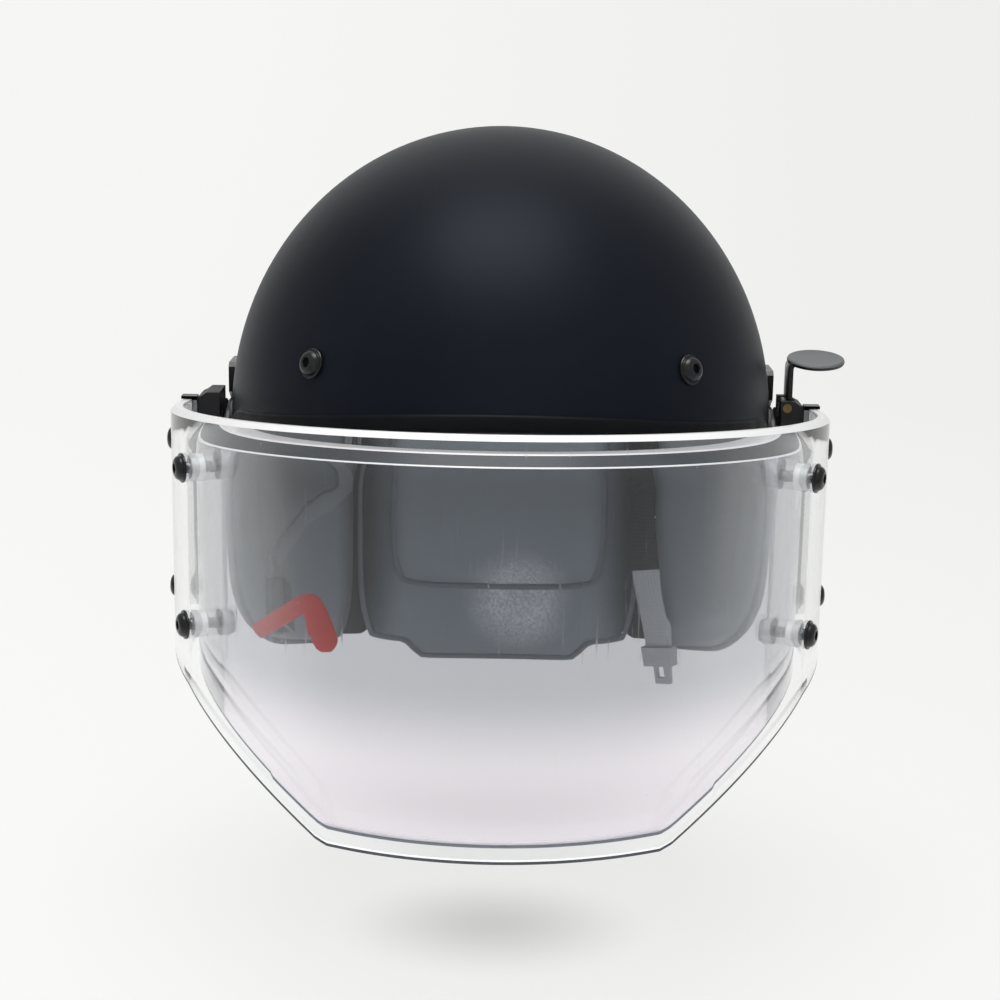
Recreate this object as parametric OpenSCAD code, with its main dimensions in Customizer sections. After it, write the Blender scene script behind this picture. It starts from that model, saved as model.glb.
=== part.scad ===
// Protective helmet with a lifting two-layer visor.
// Origin: head seat, centre of the shell at its widest level.
// +X is the wearer's left, -Y is the front, +Z is up. Millimetres.

/* [Shell] */
// Half width of the shell outside
shell_half_w = 126; // [118:1:134]
// Half length of the shell outside
shell_half_l = 140; // [134:1:146]
// Height of the crown above the head seat
shell_h = 133; // [126:1:140]
// Wall of the shell
shell_t = 8; // [6:0.5:10]
// Height of the brim at the front
brim_z = 18; // [15:1:24]
// How far the brim falls from the front to the temples
brim_fall = 18; // [12:1:22]
// How far the rim steps down over the ears
ear_drop = 12; // [8:1:14]
// How far the rim falls again towards the nape
nape_drop = 18; // [10:1:24]
// Height of the two front harness screws
front_screw_z = 37.5; // [34:0.5:42]
// Height of the two rear harness screws
rear_screw_z = 30; // [26:0.5:34]
// Thickness of the rubber edge trim
trim_t = 2; // [1.2:0.2:2.2]
// Height that the trim covers on the wall
trim_h = 6; // [4:0.5:9]

/* [Visor] */
// Room between the shell's side and the outer sheet, which the hinge fills
side_room = 19; // [18:0.5:24]
// Distance from the head seat forward to the visor's centre line
visor_y = 21; // [18:1:26]
// Thickness of the outer sheet
sheet_t = 6; // [4:0.5:7]
// Air gap between the sheet and the inner panel
panel_gap = 5; // [3.5:0.5:6]
// Thickness of the inner panel
panel_t = 11; // [8:0.5:12]
// Top of the sheet at the front
sheet_top = 22; // [18:1:26]
// How far the panel's top lies under the sheet's
panel_step = 9; // [6:1:12]
// Fall of the top edge per millimetre towards the back
top_slope = 0.105; // [0.08:0.005:0.12]
// Depth of the chin edge under the head seat
chin_depth = 157; // [148:1:166]
// Half width of the straight chin edge
chin_half_w = 72; // [60:1:80]
// Half width at which the slanted lower edge ends
cheek_half_w = 137; // [130:1:142]
// Depth of that point under the head seat
cheek_depth = 111; // [104:1:118]
// Rear edge of the sheet in front of the head seat
sheet_rear = 4; // [3:0.5:8]
// Angle that the inner panel wraps to each side
panel_wrap = 80; // [74:1:82]
// How far the panel stays inside the sheet's lower outline
panel_inset = 4; // [2:0.5:8]
// Bevel along the panel's upper front edge
panel_bevel = 5; // [3:0.5:6]

/* [Fasteners] */
// Head diameter of the visor and shell screws
head_d = 13; // [11:0.5:14]
// Height of a screw head
head_h = 4; // [3:0.5:4.5]
// Shank diameter of a screw
shank_d = 5; // [4:0.5:6]
// Key size of the socket in a head
socket_af = 4; // [3:0.5:4.5]
// Height of the upper screw row under the head seat
screw_z = 12; // [9:1:16]
// Distance between the upper and lower screw rows
screw_pitch = 71; // [60:1:74]
// Angle of the panel screws round the visor
panel_screw_turn = 65.6; // [60:0.2:68]
// Rear screws in front of the head seat
arm_screw_y = 18; // [17:0.5:21]
// Diameter of the spacer collar
collar_d = 12; // [10:0.5:14]

/* [Hinge] */
// Pivot behind the head seat
pivot_y = 10; // [8:0.5:12]
// Pivot under the head seat
pivot_depth = 18; // [17:0.5:20]
// Diameter of the pivot pin
pivot_d = 8; // [6:0.5:9]
// Radius of the hinge discs
hub_r = 20; // [18:0.5:20]
// Thickness of the shell side hinge plate
plate_t = 3; // [2.5:0.1:3.2]
// Thickness of the carrier arm
arm_t = 2.5; // [2:0.1:3]
// Lift of the visor in degrees
visor_lift = 80; // [60:1:82]

/* [Latch] */
// Diameter of the thumb pad
thumb_d = 27; // [22:1:30]
// Height of the thumb pad over the head seat
thumb_z = 28; // [26:1:34]
// Tilt of the thumb pad towards the front
thumb_tilt = 9; // [0:1:14]
// Width of the lever strip
lever_w = 13; // [10:0.5:14]
// Thickness of the lever strip
lever_t = 2.5; // [2:0.1:2.8]
// Height of the lever pin over the head seat
lever_pin_z = 5.5; // [5:0.25:7]
// Diameter of the lever pin
lever_pin_d = 3.2; // [2.5:0.1:3.4]

/* [Soft parts] */
// Thickness of the liner pads
pad_t = 15; // [10:1:18]
// Thickness of the ear guards
guard_t = 19; // [15:1:20]
// Thickness of the nape guard
nape_t = 14; // [10:1:15]
// How far the guards stand out from the shell's outer face
guard_out = 11.5; // [9:0.5:12]
// Width of the chin webbing
web_w = 20; // [15:1:25]
// Thickness of the webbing
web_t = 1.6; // [1.2:0.1:2]

/* [Hidden] */

visor_r = shell_half_w + side_room + sheet_t;
soft_gap = 0.3;
run_gap = 0.06;
turn_steps = 72;
dome_rows = 14;
liner_gap = 0.5;
arm_gap = 0.3;
shell_nut_d = 11;
arm_nut_d = 9;
nut_h = 4;
deg = 180 / PI;

// Smooth step from 0 at lo to 1 at hi
function ease(x, lo, hi) = let(t = min(1, max(0, (x - lo) / (hi - lo)))) t * t * (3 - 2 * t);
function turn_abs(phi) = let(p = abs(phi)) p > 180 ? 360 - p : p;
// Height of the rim at a turn from the front, 0, over the ears, 90, to the nape, 180
function rim_z(phi) = let(p = turn_abs(phi))
    brim_z - brim_fall * pow(sin(min(p, 90)), 2)
    - ear_drop * ease(p, 66, 84) - nape_drop * ease(p, 120, 165);
// Lift of a height on the dome, as an angle in radians, and straight below the seat
function lift_of(z) = z <= 0 ? z / shell_h : asin(z / shell_h) / deg;
function height_of(lift) = lift <= 0 ? lift * shell_h : shell_h * sin(lift * deg);
// A point on the shell's outer face, moved outwards by d
function on_shell(phi, lift, d) =
    let(e = lift <= 0 ? 1 : cos(lift * deg), z = height_of(lift),
        p = [shell_half_w * e * sin(phi), -shell_half_l * e * cos(phi), z],
        n = [p.x / pow(shell_half_w, 2), p.y / pow(shell_half_l, 2), max(z, 0) / pow(shell_h, 2)])
    p + d * n / norm(n);
function shell_normal(phi, z) = let(p = on_shell(phi, lift_of(z), 0), q = on_shell(phi, lift_of(z), 1)) q - p;

function shell_x(y, z) = shell_half_w * sqrt(1 - pow(y / shell_half_l, 2) - pow(max(z, 0) / shell_h, 2));

function join(rows) = [for (r = rows) for (p = r) p];
function two(a, b, c, d) = [[a, b, c], [a, c, d]];

// Solid between two grids of points that close round the turn, with a pole at the top
module dome_between(outer, inner, outer_pole, inner_pole) {
    m = len(outer);
    n = len(outer[0]);
    k = m * n;
    faces = concat(
        [for (i = [0 : m - 2], j = [0 : n - 1]) let(q = (j + 1) % n)
            each two(i * n + j, (i + 1) * n + j, (i + 1) * n + q, i * n + q)],
        [for (i = [0 : m - 2], j = [0 : n - 1]) let(q = (j + 1) % n)
            each two(k + i * n + q, k + (i + 1) * n + q, k + (i + 1) * n + j, k + i * n + j)],
        [for (j = [0 : n - 1]) let(q = (j + 1) % n) each two(q, k + q, k + j, j)],
        [for (j = [0 : n - 1]) [(m - 1) * n + j, 2 * k, (m - 1) * n + (j + 1) % n]],
        [for (j = [0 : n - 1]) [k + (m - 1) * n + j, k + (m - 1) * n + (j + 1) % n, 2 * k + 1]]);
    polyhedron(concat(join(outer), join(inner), [outer_pole, inner_pole]), faces, convexity = 6);
}

// Solid between two open grids of points, stitched round the border
module patch_between(front, back) {
    m = len(front);
    n = len(front[0]);
    k = m * n;
    faces = concat(
        [for (i = [0 : m - 2], j = [0 : n - 2])
            each two(i * n + j, (i + 1) * n + j, (i + 1) * n + j + 1, i * n + j + 1)],
        [for (i = [0 : m - 2], j = [0 : n - 2])
            each two(k + i * n + j, k + i * n + j + 1, k + (i + 1) * n + j + 1, k + (i + 1) * n + j)],
        [for (j = [0 : n - 2]) each two(j, j + 1, k + j + 1, k + j)],
        [for (j = [0 : n - 2]) let(b = (m - 1) * n + j) each two(b + 1, b, k + b, k + b + 1)],
        [for (i = [0 : m - 2]) let(a = i * n) each two(a + n, a, k + a, k + a + n)],
        [for (i = [0 : m - 2]) let(a = i * n + n - 1) each two(a, a + n, k + a + n, k + a)]);
    polyhedron(concat(join(front), join(back)), faces, convexity = 6);
}

// Tube of a closed section carried round a closed turn
module ring_of(sections) {
    m = len(sections);
    n = len(sections[0]);
    faces = [for (i = [0 : m - 1], j = [0 : n - 1]) let(a = (i + 1) % m, b = (j + 1) % n)
        each two(i * n + j, a * n + j, a * n + b, i * n + b)];
    polyhedron(join(sections), faces, convexity = 8);
}

function path_dirs(path) = let(m = len(path))
    [for (i = [0 : m - 1]) let(t = path[min(i + 1, m - 1)] - path[max(i - 1, 0)]) t / norm(t)];
function across(w, t) = let(s = w - (w * t) * t) s / norm(s);

// Flat band carried along a path. w is the direction of its width, one for all or one a point
module band(path, w, width, thick) {
    m = len(path);
    dirs = path_dirs(path);
    side = [for (i = [0 : m - 1]) across(is_list(w[0]) ? w[i] : w, dirs[i]) * width / 2];
    up = [for (i = [0 : m - 1]) cross(dirs[i], side[i]) / (width / 2) * thick / 2];
    pts = join([for (i = [0 : m - 1]) let(p = path[i])
        [p + side[i] + up[i], p - side[i] + up[i], p - side[i] - up[i], p + side[i] - up[i]]]);
    faces = concat([for (i = [0 : m - 2], j = [0 : 3]) let(q = (j + 1) % 4)
            each two(i * 4 + j, i * 4 + q, i * 4 + 4 + q, i * 4 + 4 + j)],
        [[3, 2, 1], [3, 1, 0]], two(m * 4 - 4, m * 4 - 3, m * 4 - 2, m * 4 - 1));
    polyhedron(pts, faces, convexity = 6);
}

// Crowned pad that follows the shell's form. Its outer face lies at offset d_out and its inner
// face thick further in. Both come together at the borders, $pinch_out of it from outside. The
// lower front corner is drawn in by $front_cut, and the lower front leans in by $lean.
module shell_pad(phi_a, phi_b, z_low, z_high, d_out, thick, cols, rows) {
    function swell(u, v) = sqrt(max(0, (1 - pow(abs(u), 4)) * (1 - pow(abs(v), 4))));
    function at(i, j, back) =
        let(v = 2 * i / (rows - 1) - 1, u = 2 * j / (cols - 1) - 1,
            cut = u < 0 && v < 0 ? $front_cut : corner_cut,
            phi = (phi_a + phi_b) / 2 + (phi_b - phi_a) / 2 * u * (1 - cut * pow(abs(v), 4)),
            low = z_low + $guard_slope * (-shell_half_l * cos(phi)),
            top = z_high + ($guard_slope == 0 ? 0 : rim_z(phi)),
            z = (low + top) / 2 + (top - low) / 2 * v * (1 - 0.06 * pow(abs(u), 6)),
            d = d_out - $lean * pow((1 - v) / 2, 3) * (1 - u) / 2,
            pinch = thick * (1 - border_t) * (1 - swell(u, v)))
        on_shell(phi, lift_of(z), back ? d - pinch * $pinch_out : d - thick + pinch * (1 - $pinch_out));
    patch_between([for (i = [0 : rows - 1]) [for (j = [0 : cols - 1]) at(i, j, true)]],
                  [for (i = [0 : rows - 1]) [for (j = [0 : cols - 1]) at(i, j, false)]]);
}
// Share of a pad's thickness left at its border, and of its width lost at a plain corner
border_t = 0.32;
corner_cut = 0.10;
$guard_slope = 0;
$pinch_out = 0.5;
$front_cut = corner_cut;
$lean = 0;

// Turns +Z to the direction n at the point p
module along(p, n) {
    translate(p) rotate([0, acos(n.z / norm(n)), atan2(n.y, n.x)]) children();
}

// Domed head with a hex socket and a washer rim, its seat at z = 0, its shank downwards
module dome_screw(shank) {
    difference() {
        union() {
            cylinder(d = head_d, h = head_h * 0.3, $fn = 48);
            rotate_extrude($fn = 48) polygon([[0, 0], [head_d * 0.43, 0], [head_d * 0.43, head_h * 0.45],
                [head_d * 0.36, head_h * 0.8], [head_d * 0.25, head_h], [0, head_h]]);
            translate([0, 0, -shank]) cylinder(d = shank_d, h = shank + 0.1, $fn = 32);
        }
        translate([0, 0, head_h * 0.4]) cylinder(d = socket_af / cos(30), h = head_h, $fn = 6);
    }
}

// Round nut with a domed closed end, its seat at z = 0, over the shank's end
module cap_nut(d, h) {
    difference() {
        rotate_extrude($fn = 40) polygon([[0, 0], [d / 2, 0], [d / 2, h * 0.55], [d * 0.38, h], [0, h]]);
        translate([0, 0, -1]) cylinder(d = shank_d + 2 * run_gap, h = h * 0.7 + 1, $fn = 32);
    }
}

// Shell

module shell() {
    rim_lift = trim_h / shell_h;
    phis = [for (j = [0 : turn_steps - 1]) j * 360 / turn_steps];
    function row_lift(phi, i) = let(a = lift_of(rim_z(phi)), b = a + rim_lift)
        i == 0 ? a : b + (PI / 2 - b) * (i - 1) / dome_rows;
    function rows(d) = [for (i = [0 : dome_rows]) [for (p = phis) on_shell(p, row_lift(p, i), d)]];
    color([0.07, 0.08, 0.09]) difference() {
        dome_between(rows(0), rows(-shell_t), [0, 0, shell_h], [0, 0, shell_h - shell_t]);
        for (s = shell_spots) along(on_shell(s[0], lift_of(s[1]), 0), shell_normal(s[0], s[1]))
            translate([0, 0, -shell_t - 4]) cylinder(d = shank_d + 0.4, h = shell_t + 8, $fn = 24);
        for (x = [-1, 1], y = hinge_bolt_ys) translate([x * shell_half_w, y, hinge_bolt_z])
            rotate([0, 90, 0]) cylinder(d = shank_d + 0.4, h = 40, center = true, $fn = 24);
    }
}
// Turn and height of the four screws that hold the harness in the shell
shell_spots = [[41, front_screw_z], [-41, front_screw_z], [144, rear_screw_z], [-144, rear_screw_z]];

// Rubber U section along the rim: its lips lie on both faces of the wall
module edge_trim() {
    rim_lift = trim_h / shell_h;
    drop = trim_t / shell_h;
    color([0.05, 0.05, 0.05]) ring_of([for (j = [0 : turn_steps - 1])
        let(phi = j * 360 / turn_steps, a = lift_of(rim_z(phi)))
        [on_shell(phi, a + rim_lift, 0), on_shell(phi, a + rim_lift, trim_t * 0.6),
         on_shell(phi, a + rim_lift * 0.8, trim_t), on_shell(phi, a, trim_t),
         on_shell(phi, a - drop, trim_t * 0.3), on_shell(phi, a - drop, -shell_t - trim_t * 0.3),
         on_shell(phi, a, -shell_t - trim_t), on_shell(phi, a + rim_lift * 0.8, -shell_t - trim_t),
         on_shell(phi, a + rim_lift, -shell_t - trim_t * 0.6), on_shell(phi, a + rim_lift, -shell_t),
         on_shell(phi, a, -shell_t), on_shell(phi, a, 0)]]);
}

module shell_screws() {
    color([0.06, 0.06, 0.06]) for (s = shell_spots)
        along(on_shell(s[0], lift_of(s[1]), 0.2), shell_normal(s[0], s[1])) dome_screw(shell_t + 3);
}

module shell_nuts() {
    color([0.55, 0.55, 0.57]) for (s = shell_spots)
        along(on_shell(s[0], lift_of(s[1]), -shell_t - liner_gap), -shell_normal(s[0], s[1]))
            cap_nut(shell_nut_d, nut_h);
}

// Liner pads inside the shell

liner_out = -shell_t - liner_gap;
brow_low = 16;
brow_high = 56;
side_pad_low = 16;
side_pad_high = 62;
rear_pad_high = 58;

module crown_pad() {
    n = 28;
    m = 6;
    reach = 30;
    function at(i, j, d0, d1) = let(t = i / (m - 1), s = sqrt(max(0, 1 - pow(t, 4))))
        on_shell(j * 360 / n, (90 - reach * (i + 0.02) / (m - 1)) / deg, d0 + (d1 - d0) * (1 - s) * 0.34);
    outer = [for (i = [m - 1 : -1 : 1]) [for (j = [0 : n - 1]) at(i, j, liner_out, liner_out - pad_t)]];
    inner = [for (i = [m - 1 : -1 : 1]) [for (j = [0 : n - 1]) at(i, j, liner_out - pad_t, liner_out)]];
    color([0.25, 0.27, 0.28]) dome_between(outer, inner, [0, 0, shell_h + liner_out],
        [0, 0, shell_h + liner_out - pad_t]);
}

module brow_pad() {
    color([0.25, 0.27, 0.28]) shell_pad(-34, 34, brim_z + brow_low, brim_z + brow_high, liner_out, pad_t, 13, 7);
}

module side_pad(s) {
    color([0.25, 0.27, 0.28]) mirror([s < 0 ? 1 : 0, 0, 0])
        shell_pad(68, 122, side_pad_low, side_pad_high, liner_out, pad_t, 13, 8);
}
module side_pad_left() { side_pad(1); }
module side_pad_right() { side_pad(-1); }

module rear_pad() {
    color([0.25, 0.27, 0.28]) shell_pad(153, 207, 0, rear_pad_high, liner_out, pad_t, 13, 8);
}

// Soft guards that hang under the rim over the ears and the nape

guard_fall = -0.3;
guard_low = -116;
guard_top = -trim_t - 2 * soft_gap;
ear_front = 80;
ear_rear = 141;
nape_front = 143.5;
strip_lap = 4;
strip_t = 1.2;

module ear_guard(s) {
    $guard_slope = guard_fall;
    $pinch_out = 0.1;
    $front_cut = 0.32;
    $lean = 8;
    color([0.42, 0.45, 0.46]) mirror([s < 0 ? 1 : 0, 0, 0]) difference() {
        shell_pad(ear_front, ear_rear, guard_low, guard_top, guard_out, guard_t, 15, 12);
        translate([shell_half_w - 1, pivot_y, -pivot_depth]) rotate([0, 90, 0])
            cylinder(r = hub_r + 5, h = side_room, $fn = 40);
    }
}
module ear_guard_left() { ear_guard(1); }
module ear_guard_right() { ear_guard(-1); }

module nape_guard() {
    $guard_slope = guard_fall;
    $pinch_out = 0.1;
    color([0.38, 0.41, 0.42])
        shell_pad(nape_front, 360 - nape_front, guard_low, guard_top, guard_out, nape_t, 15, 12);
}

nape_pad_out = guard_out - nape_t - soft_gap;
nape_pad_t = 10;
module nape_pad() {
    $guard_slope = guard_fall;
    color([0.34, 0.37, 0.38])
        shell_pad(nape_front + 6, 354 - nape_front, guard_low + 36, guard_top - 6, nape_pad_out, nape_pad_t, 13, 9);
}

// Cloth strips outside that join each ear guard to the nape guard
module seam_strips() {
    a = ear_rear - strip_lap;
    b = nape_front + strip_lap;
    function at(i, j, d) = let(phi = a + (b - a) * j / 4, k = i / 9,
            low = guard_low + 3 + guard_fall * (-shell_half_l * cos(phi)), top = guard_top + rim_z(phi) - 1)
        on_shell(phi, lift_of(low + (top - low) * k), d);
    color([0.25, 0.27, 0.28]) for (s = [-1, 1]) mirror([s < 0 ? 1 : 0, 0, 0])
        patch_between([for (i = [0 : 9]) [for (j = [0 : 4]) at(i, j, guard_out + soft_gap + strip_t)]],
                      [for (i = [0 : 9]) [for (j = [0 : 4]) at(i, j, guard_out + soft_gap)]]);
}

// Chin harness, shown undone

left_turn = [0.68, -0.73, 0];
strap_turn = [0, 1, -0.35];
// Points of the webbings: how far inside the shell's half width, forward, and height. Each comes
// down at the rear edge of an ear guard. The right one runs on forward to the buckle and the tab.
left_spots = [[45.5, 93.6, 4], [47, 91, -14], [48, 88, -40], [48.5, 84, -75], [44, 79, -105]];
tail_spots = [[39, 75, -126], [36, 73, -142]];
right_spots = [[45.5, 93.6, 4], [47, 91, -14], [49, 84, -40], [42, 55, -52], [32, 10, -53],
               [23.5, -38, -62], [24.75, -42, -70], [26, -46, -78]];
left_path = [for (p = concat(left_spots, tail_spots)) [shell_half_w - p.x, p.y, p.z]];
right_path = [for (p = right_spots) [shell_half_w - p.x, p.y, p.z]];
right_turns = [for (k = [0 : len(right_spots) - 1]) let(a = ease(k, 1, 3))
    (1 - a) * left_turn - a * strap_turn];
module strap(s, path, turn) {
    color([0.16, 0.17, 0.18]) mirror([s < 0 ? 1 : 0, 0, 0]) band(path, turn, web_w, web_t);
}
module chin_strap_left() { strap(1, left_path, left_turn); }
module chin_strap_right() { strap(-1, right_path, right_turns); }

// Places its child on a webbing's end: +Z runs on along it, +Y across it, +X off its flat
module on_end(path, w) {
    t = path_dirs(path)[len(path) - 1];
    y = across(w, t);
    x = cross(y, t);
    p = path[len(path) - 1];
    multmatrix([[x.x, y.x, t.x, p.x], [x.y, y.y, t.y, p.y], [x.z, y.z, t.z, p.z], [0, 0, 0, 1]]) children();
}

// Webbings from the rear nuts down over the nape pad
module nape_strap() {
    d = nape_pad_out - nape_pad_t - web_t / 2 - soft_gap - 0.2;
    spots = [[144, 21, -shell_t - 1.4], [146, 4, -shell_t - 1.4], [150, -16, -shell_t - trim_t - 1.6],
             [155, -34, d], [161, -52, d], [167, -72, d], [172, -94, d]];
    color([0.16, 0.17, 0.18]) for (s = [-1, 1]) let(
            path = [for (q = spots) on_shell(s * q[0], lift_of(q[1]), q[2])],
            dirs = path_dirs(path),
            w = [for (i = [0 : len(spots) - 1]) cross(shell_normal(s * spots[i][0], spots[i][1]), dirs[i])])
        band(path, w, web_w * 0.7, web_t);
}

// Buckle halves on the ends of the chin webbing, and the red moulded tab that opens them
slot_room = 0.3;
socket_l = 22;
socket_w = web_w + 4;
buckle_t = 9;
module web_slot(depth) {
    translate([0, 0, depth / 2 - 1]) cube([web_t + 2 * slot_room, web_w + 2 * slot_room, depth + 2], center = true);
}
module buckle_socket() {
    color([0.10, 0.10, 0.11]) mirror([1, 0, 0]) on_end(right_path, strap_turn) translate([0, 0, -6]) difference() {
        linear_extrude(height = socket_l) offset(r = 2, $fn = 24)
            square([buckle_t - 4, socket_w - 4], center = true);
        web_slot(6 + slot_room);
        translate([0, 0, socket_l - 4]) cube([buckle_t - 4, web_w - 5, 12], center = true);
    }
}
module buckle_plug() {
    color([0.10, 0.10, 0.11]) on_end(left_path, left_turn) translate([0, 0, -6]) {
        difference() {
            linear_extrude(height = 10) offset(r = 2, $fn = 24) square([buckle_t - 5, socket_w - 5], center = true);
            web_slot(6 + slot_room);
        }
        for (y = [-1, 1]) translate([-1.5, y * 4.5 - 1.5, 9.9]) cube([3, 3, 9]);
        translate([-1.5, -6, 16.9]) cube([3, 12, 3]);
    }
}
module release_tab() {
    color([0.75, 0.20, 0.14]) mirror([1, 0, 0]) on_end(right_path, strap_turn)
        translate([0, -socket_w / 2 - slot_room, 0]) rotate([90, 0, 0]) linear_extrude(height = 2.4) {
            hull() {
                translate([-9, 18.4]) circle(r = 3.8, $fn = 32);
                translate([15.3, 6.8]) circle(r = 4.5, $fn = 32);
            }
            hull() {
                translate([15.3, 6.8]) circle(r = 4.5, $fn = 32);
                translate([22.5, 32]) circle(r = 5.8, $fn = 32);
            }
        }
}

// Hinge, latch and visor. Faces across the hinge, from the shell outwards
plate_in = shell_half_w + trim_t + 0.4;
plate_out = plate_in + plate_t;
arm_out = visor_r - sheet_t - arm_gap;
arm_in = arm_out - arm_t;
hinge_bolt_z = 8;
hinge_bolt_ys = [pivot_y + 14, pivot_y + 27];
groove_depth = 1.6;
groove_w = 4.2;
// Angle at which the tooth's groove starts, and its length, which is the visor's lift and room
groove_start = 145;
groove_turn = visor_lift + 45;
pin_head_t = 1.2;
bolt_head_d = 9;
boss_d = 10;
tooth_in = plate_out - groove_depth + 0.4;
pin_x = plate_out + lever_pin_d / 2 + 1.4;
ear_top = lever_pin_z + 3;
block_w = lever_w + 8;

// Plate bolted to the shell beside each ear, with the pivot disc under the rim
module hinge_plate() {
    tab_top = hinge_bolt_z + 10;
    y0 = hinge_bolt_ys[0] - 5;
    y1 = hinge_bolt_ys[1] + 7;
    difference() {
        union() {
            translate([plate_in, pivot_y, -pivot_depth]) rotate([0, 90, 0])
                cylinder(r = hub_r, h = plate_t, $fn = 96);
            translate([plate_in, 0, 0]) rotate([90, 0, 90]) linear_extrude(height = plate_t)
                polygon([[y0, -pivot_depth], [y0, tab_top - 2], [y0 + 2, tab_top], [y1 - 4, tab_top],
                         [y1, tab_top - 4], [y1, -2], [pivot_y + hub_r - 1, -pivot_depth]]);
            for (y = hinge_bolt_ys) let(x = shell_x(y - boss_d / 2, hinge_bolt_z - boss_d / 2) + 0.1)
                translate([x, y, hinge_bolt_z]) rotate([0, 90, 0])
                    cylinder(d = boss_d, h = plate_in - x + 0.1, $fn = 40);
        }
        translate([plate_in - 1, pivot_y, -pivot_depth]) rotate([0, 90, 0])
            cylinder(d = pivot_d + 2 * run_gap, h = plate_t + 2, $fn = 64);
        translate([plate_in - 1, pivot_y, -pivot_depth]) rotate([0, 90, 0])
            cylinder(d = pivot_d + 6.4, h = 1 + pin_head_t + 0.1, $fn = 64);
        for (y = hinge_bolt_ys) translate([plate_out, y, hinge_bolt_z]) rotate([0, 90, 0]) {
            translate([0, 0, -side_room]) cylinder(d = shank_d + 0.3, h = 2 * side_room, $fn = 32);
            translate([0, 0, -groove_depth - 0.05]) cylinder(d = bolt_head_d + 0.4, h = 5, $fn = 48);
        }
        translate([plate_out - groove_depth, pivot_y, -pivot_depth]) rotate([90, 0, 90])
            rotate([0, 0, groove_start - groove_turn]) rotate_extrude(angle = groove_turn, $fn = 96)
                translate([hub_r - groove_w, 0]) square([groove_w + 3.6, groove_depth + 1]);
    }
}
module hinge_plate_left() { color([0.08, 0.08, 0.08]) hinge_plate(); }
module hinge_plate_right() { color([0.08, 0.08, 0.08]) mirror([1, 0, 0]) hinge_plate(); }

module hinge_screws() {
    color([0.06, 0.06, 0.06]) for (s = [-1, 1], y = hinge_bolt_ys)
        translate([s * (plate_out - groove_depth), y, hinge_bolt_z]) rotate([0, s * 90, 0])
            hinge_screw();
}
module hinge_screw() {
    difference() {
        union() {
            cylinder(d = bolt_head_d, h = groove_depth, $fn = 40);
            translate([0, 0, -plate_t - shell_t - 3]) cylinder(d = shank_d, h = plate_t + shell_t + 4, $fn = 32);
        }
        translate([0, 0, 0.6]) cylinder(d = 3 / cos(30), h = 4, $fn = 6);
    }
}

// Shoulder pins on which the visor turns, with their outer nuts
module pivot_pins() {
    color([0.35, 0.36, 0.38]) for (s = [-1, 1])
        translate([s * plate_in, pivot_y, -pivot_depth]) rotate([0, s * 90, 0]) {
            cylinder(d = pivot_d + 6, h = pin_head_t, $fn = 48);
            cylinder(d = pivot_d, h = arm_out - plate_in + 4.5, $fn = 64);
        }
}
module pivot_nuts() {
    color([0.08, 0.08, 0.08]) for (s = [-1, 1])
        translate([s * (arm_out + 0.3), pivot_y, -pivot_depth]) rotate([0, s * 90, 0]) difference() {
            rotate_extrude($fn = 48) polygon([[0, 0], [7.5, 0], [7.5, 2.6], [5.4, 5.6], [0, 5.6]]);
            translate([0, 0, -1]) cylinder(d = pivot_d + 0.04, h = 5.4, $fn = 64);
        }
}

// Plan of a layer of the visor: a ring that wraps to each side, with straight sides to y_end
module layer_plan(r_out, t, wrap, y_end) {
    far = 3 * visor_r;
    difference() {
        circle(r = r_out, $fn = 360);
        circle(r = r_out - t, $fn = 360);
        polygon([[0, 0], [-far * sin(wrap), -far * cos(wrap)], [-far, far], [far, far],
                 [far * sin(wrap), -far * cos(wrap)]]);
    }
    if (y_end > 0) for (x = [r_out - t, -r_out]) translate([x, -0.01]) square([t, y_end + 0.01]);
}

// Face outline of the visor seen from the front, drawn in by inset
module face_outline(inset) {
    w = visor_r + 10;
    offset(delta = -inset) polygon([[-w, 200], [-w, 6 - cheek_depth], [-visor_r, 5 - cheek_depth],
        [-cheek_half_w, -cheek_depth], [-chin_half_w - 2.5, 2 - chin_depth], [-chin_half_w + 2.5, -chin_depth],
        [chin_half_w - 2.5, -chin_depth], [chin_half_w + 2.5, 2 - chin_depth], [cheek_half_w, -cheek_depth],
        [visor_r, 5 - cheek_depth], [w, 6 - cheek_depth], [w, 200]]);
}

// Cuts away what lies over the sloped top, at height z where y is the front of the sheet
module under_top(z) {
    y0 = -visor_y - visor_r;
    rotate([90, 0, 90]) linear_extrude(height = 2 * visor_r + 40, center = true)
        polygon([[y0 - 10, z + 10 * top_slope], [y0 + 400, z - 400 * top_slope],
                 [y0 + 400, -300], [y0 - 10, -300]]);
}

module outer_sheet() {
    hole_r = shank_d / 2 + 0.2;
    color([0.85, 0.87, 0.90, 0.4]) difference() {
        intersection() {
            translate([0, -visor_y, -chin_depth - 10]) linear_extrude(height = chin_depth + 60)
                layer_plan(visor_r, sheet_t, 90, visor_y - sheet_rear);
            translate([0, 60, 0]) rotate([90, 0, 0]) linear_extrude(height = 300) face_outline(0);
            under_top(sheet_top);
        }
        each_panel_screw() translate([0, 0, -20]) cylinder(r = hole_r, h = 40, $fn = 32);
        each_arm_screw() translate([0, 0, -20]) cylinder(r = hole_r, h = 40, $fn = 32);
    }
}

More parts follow.
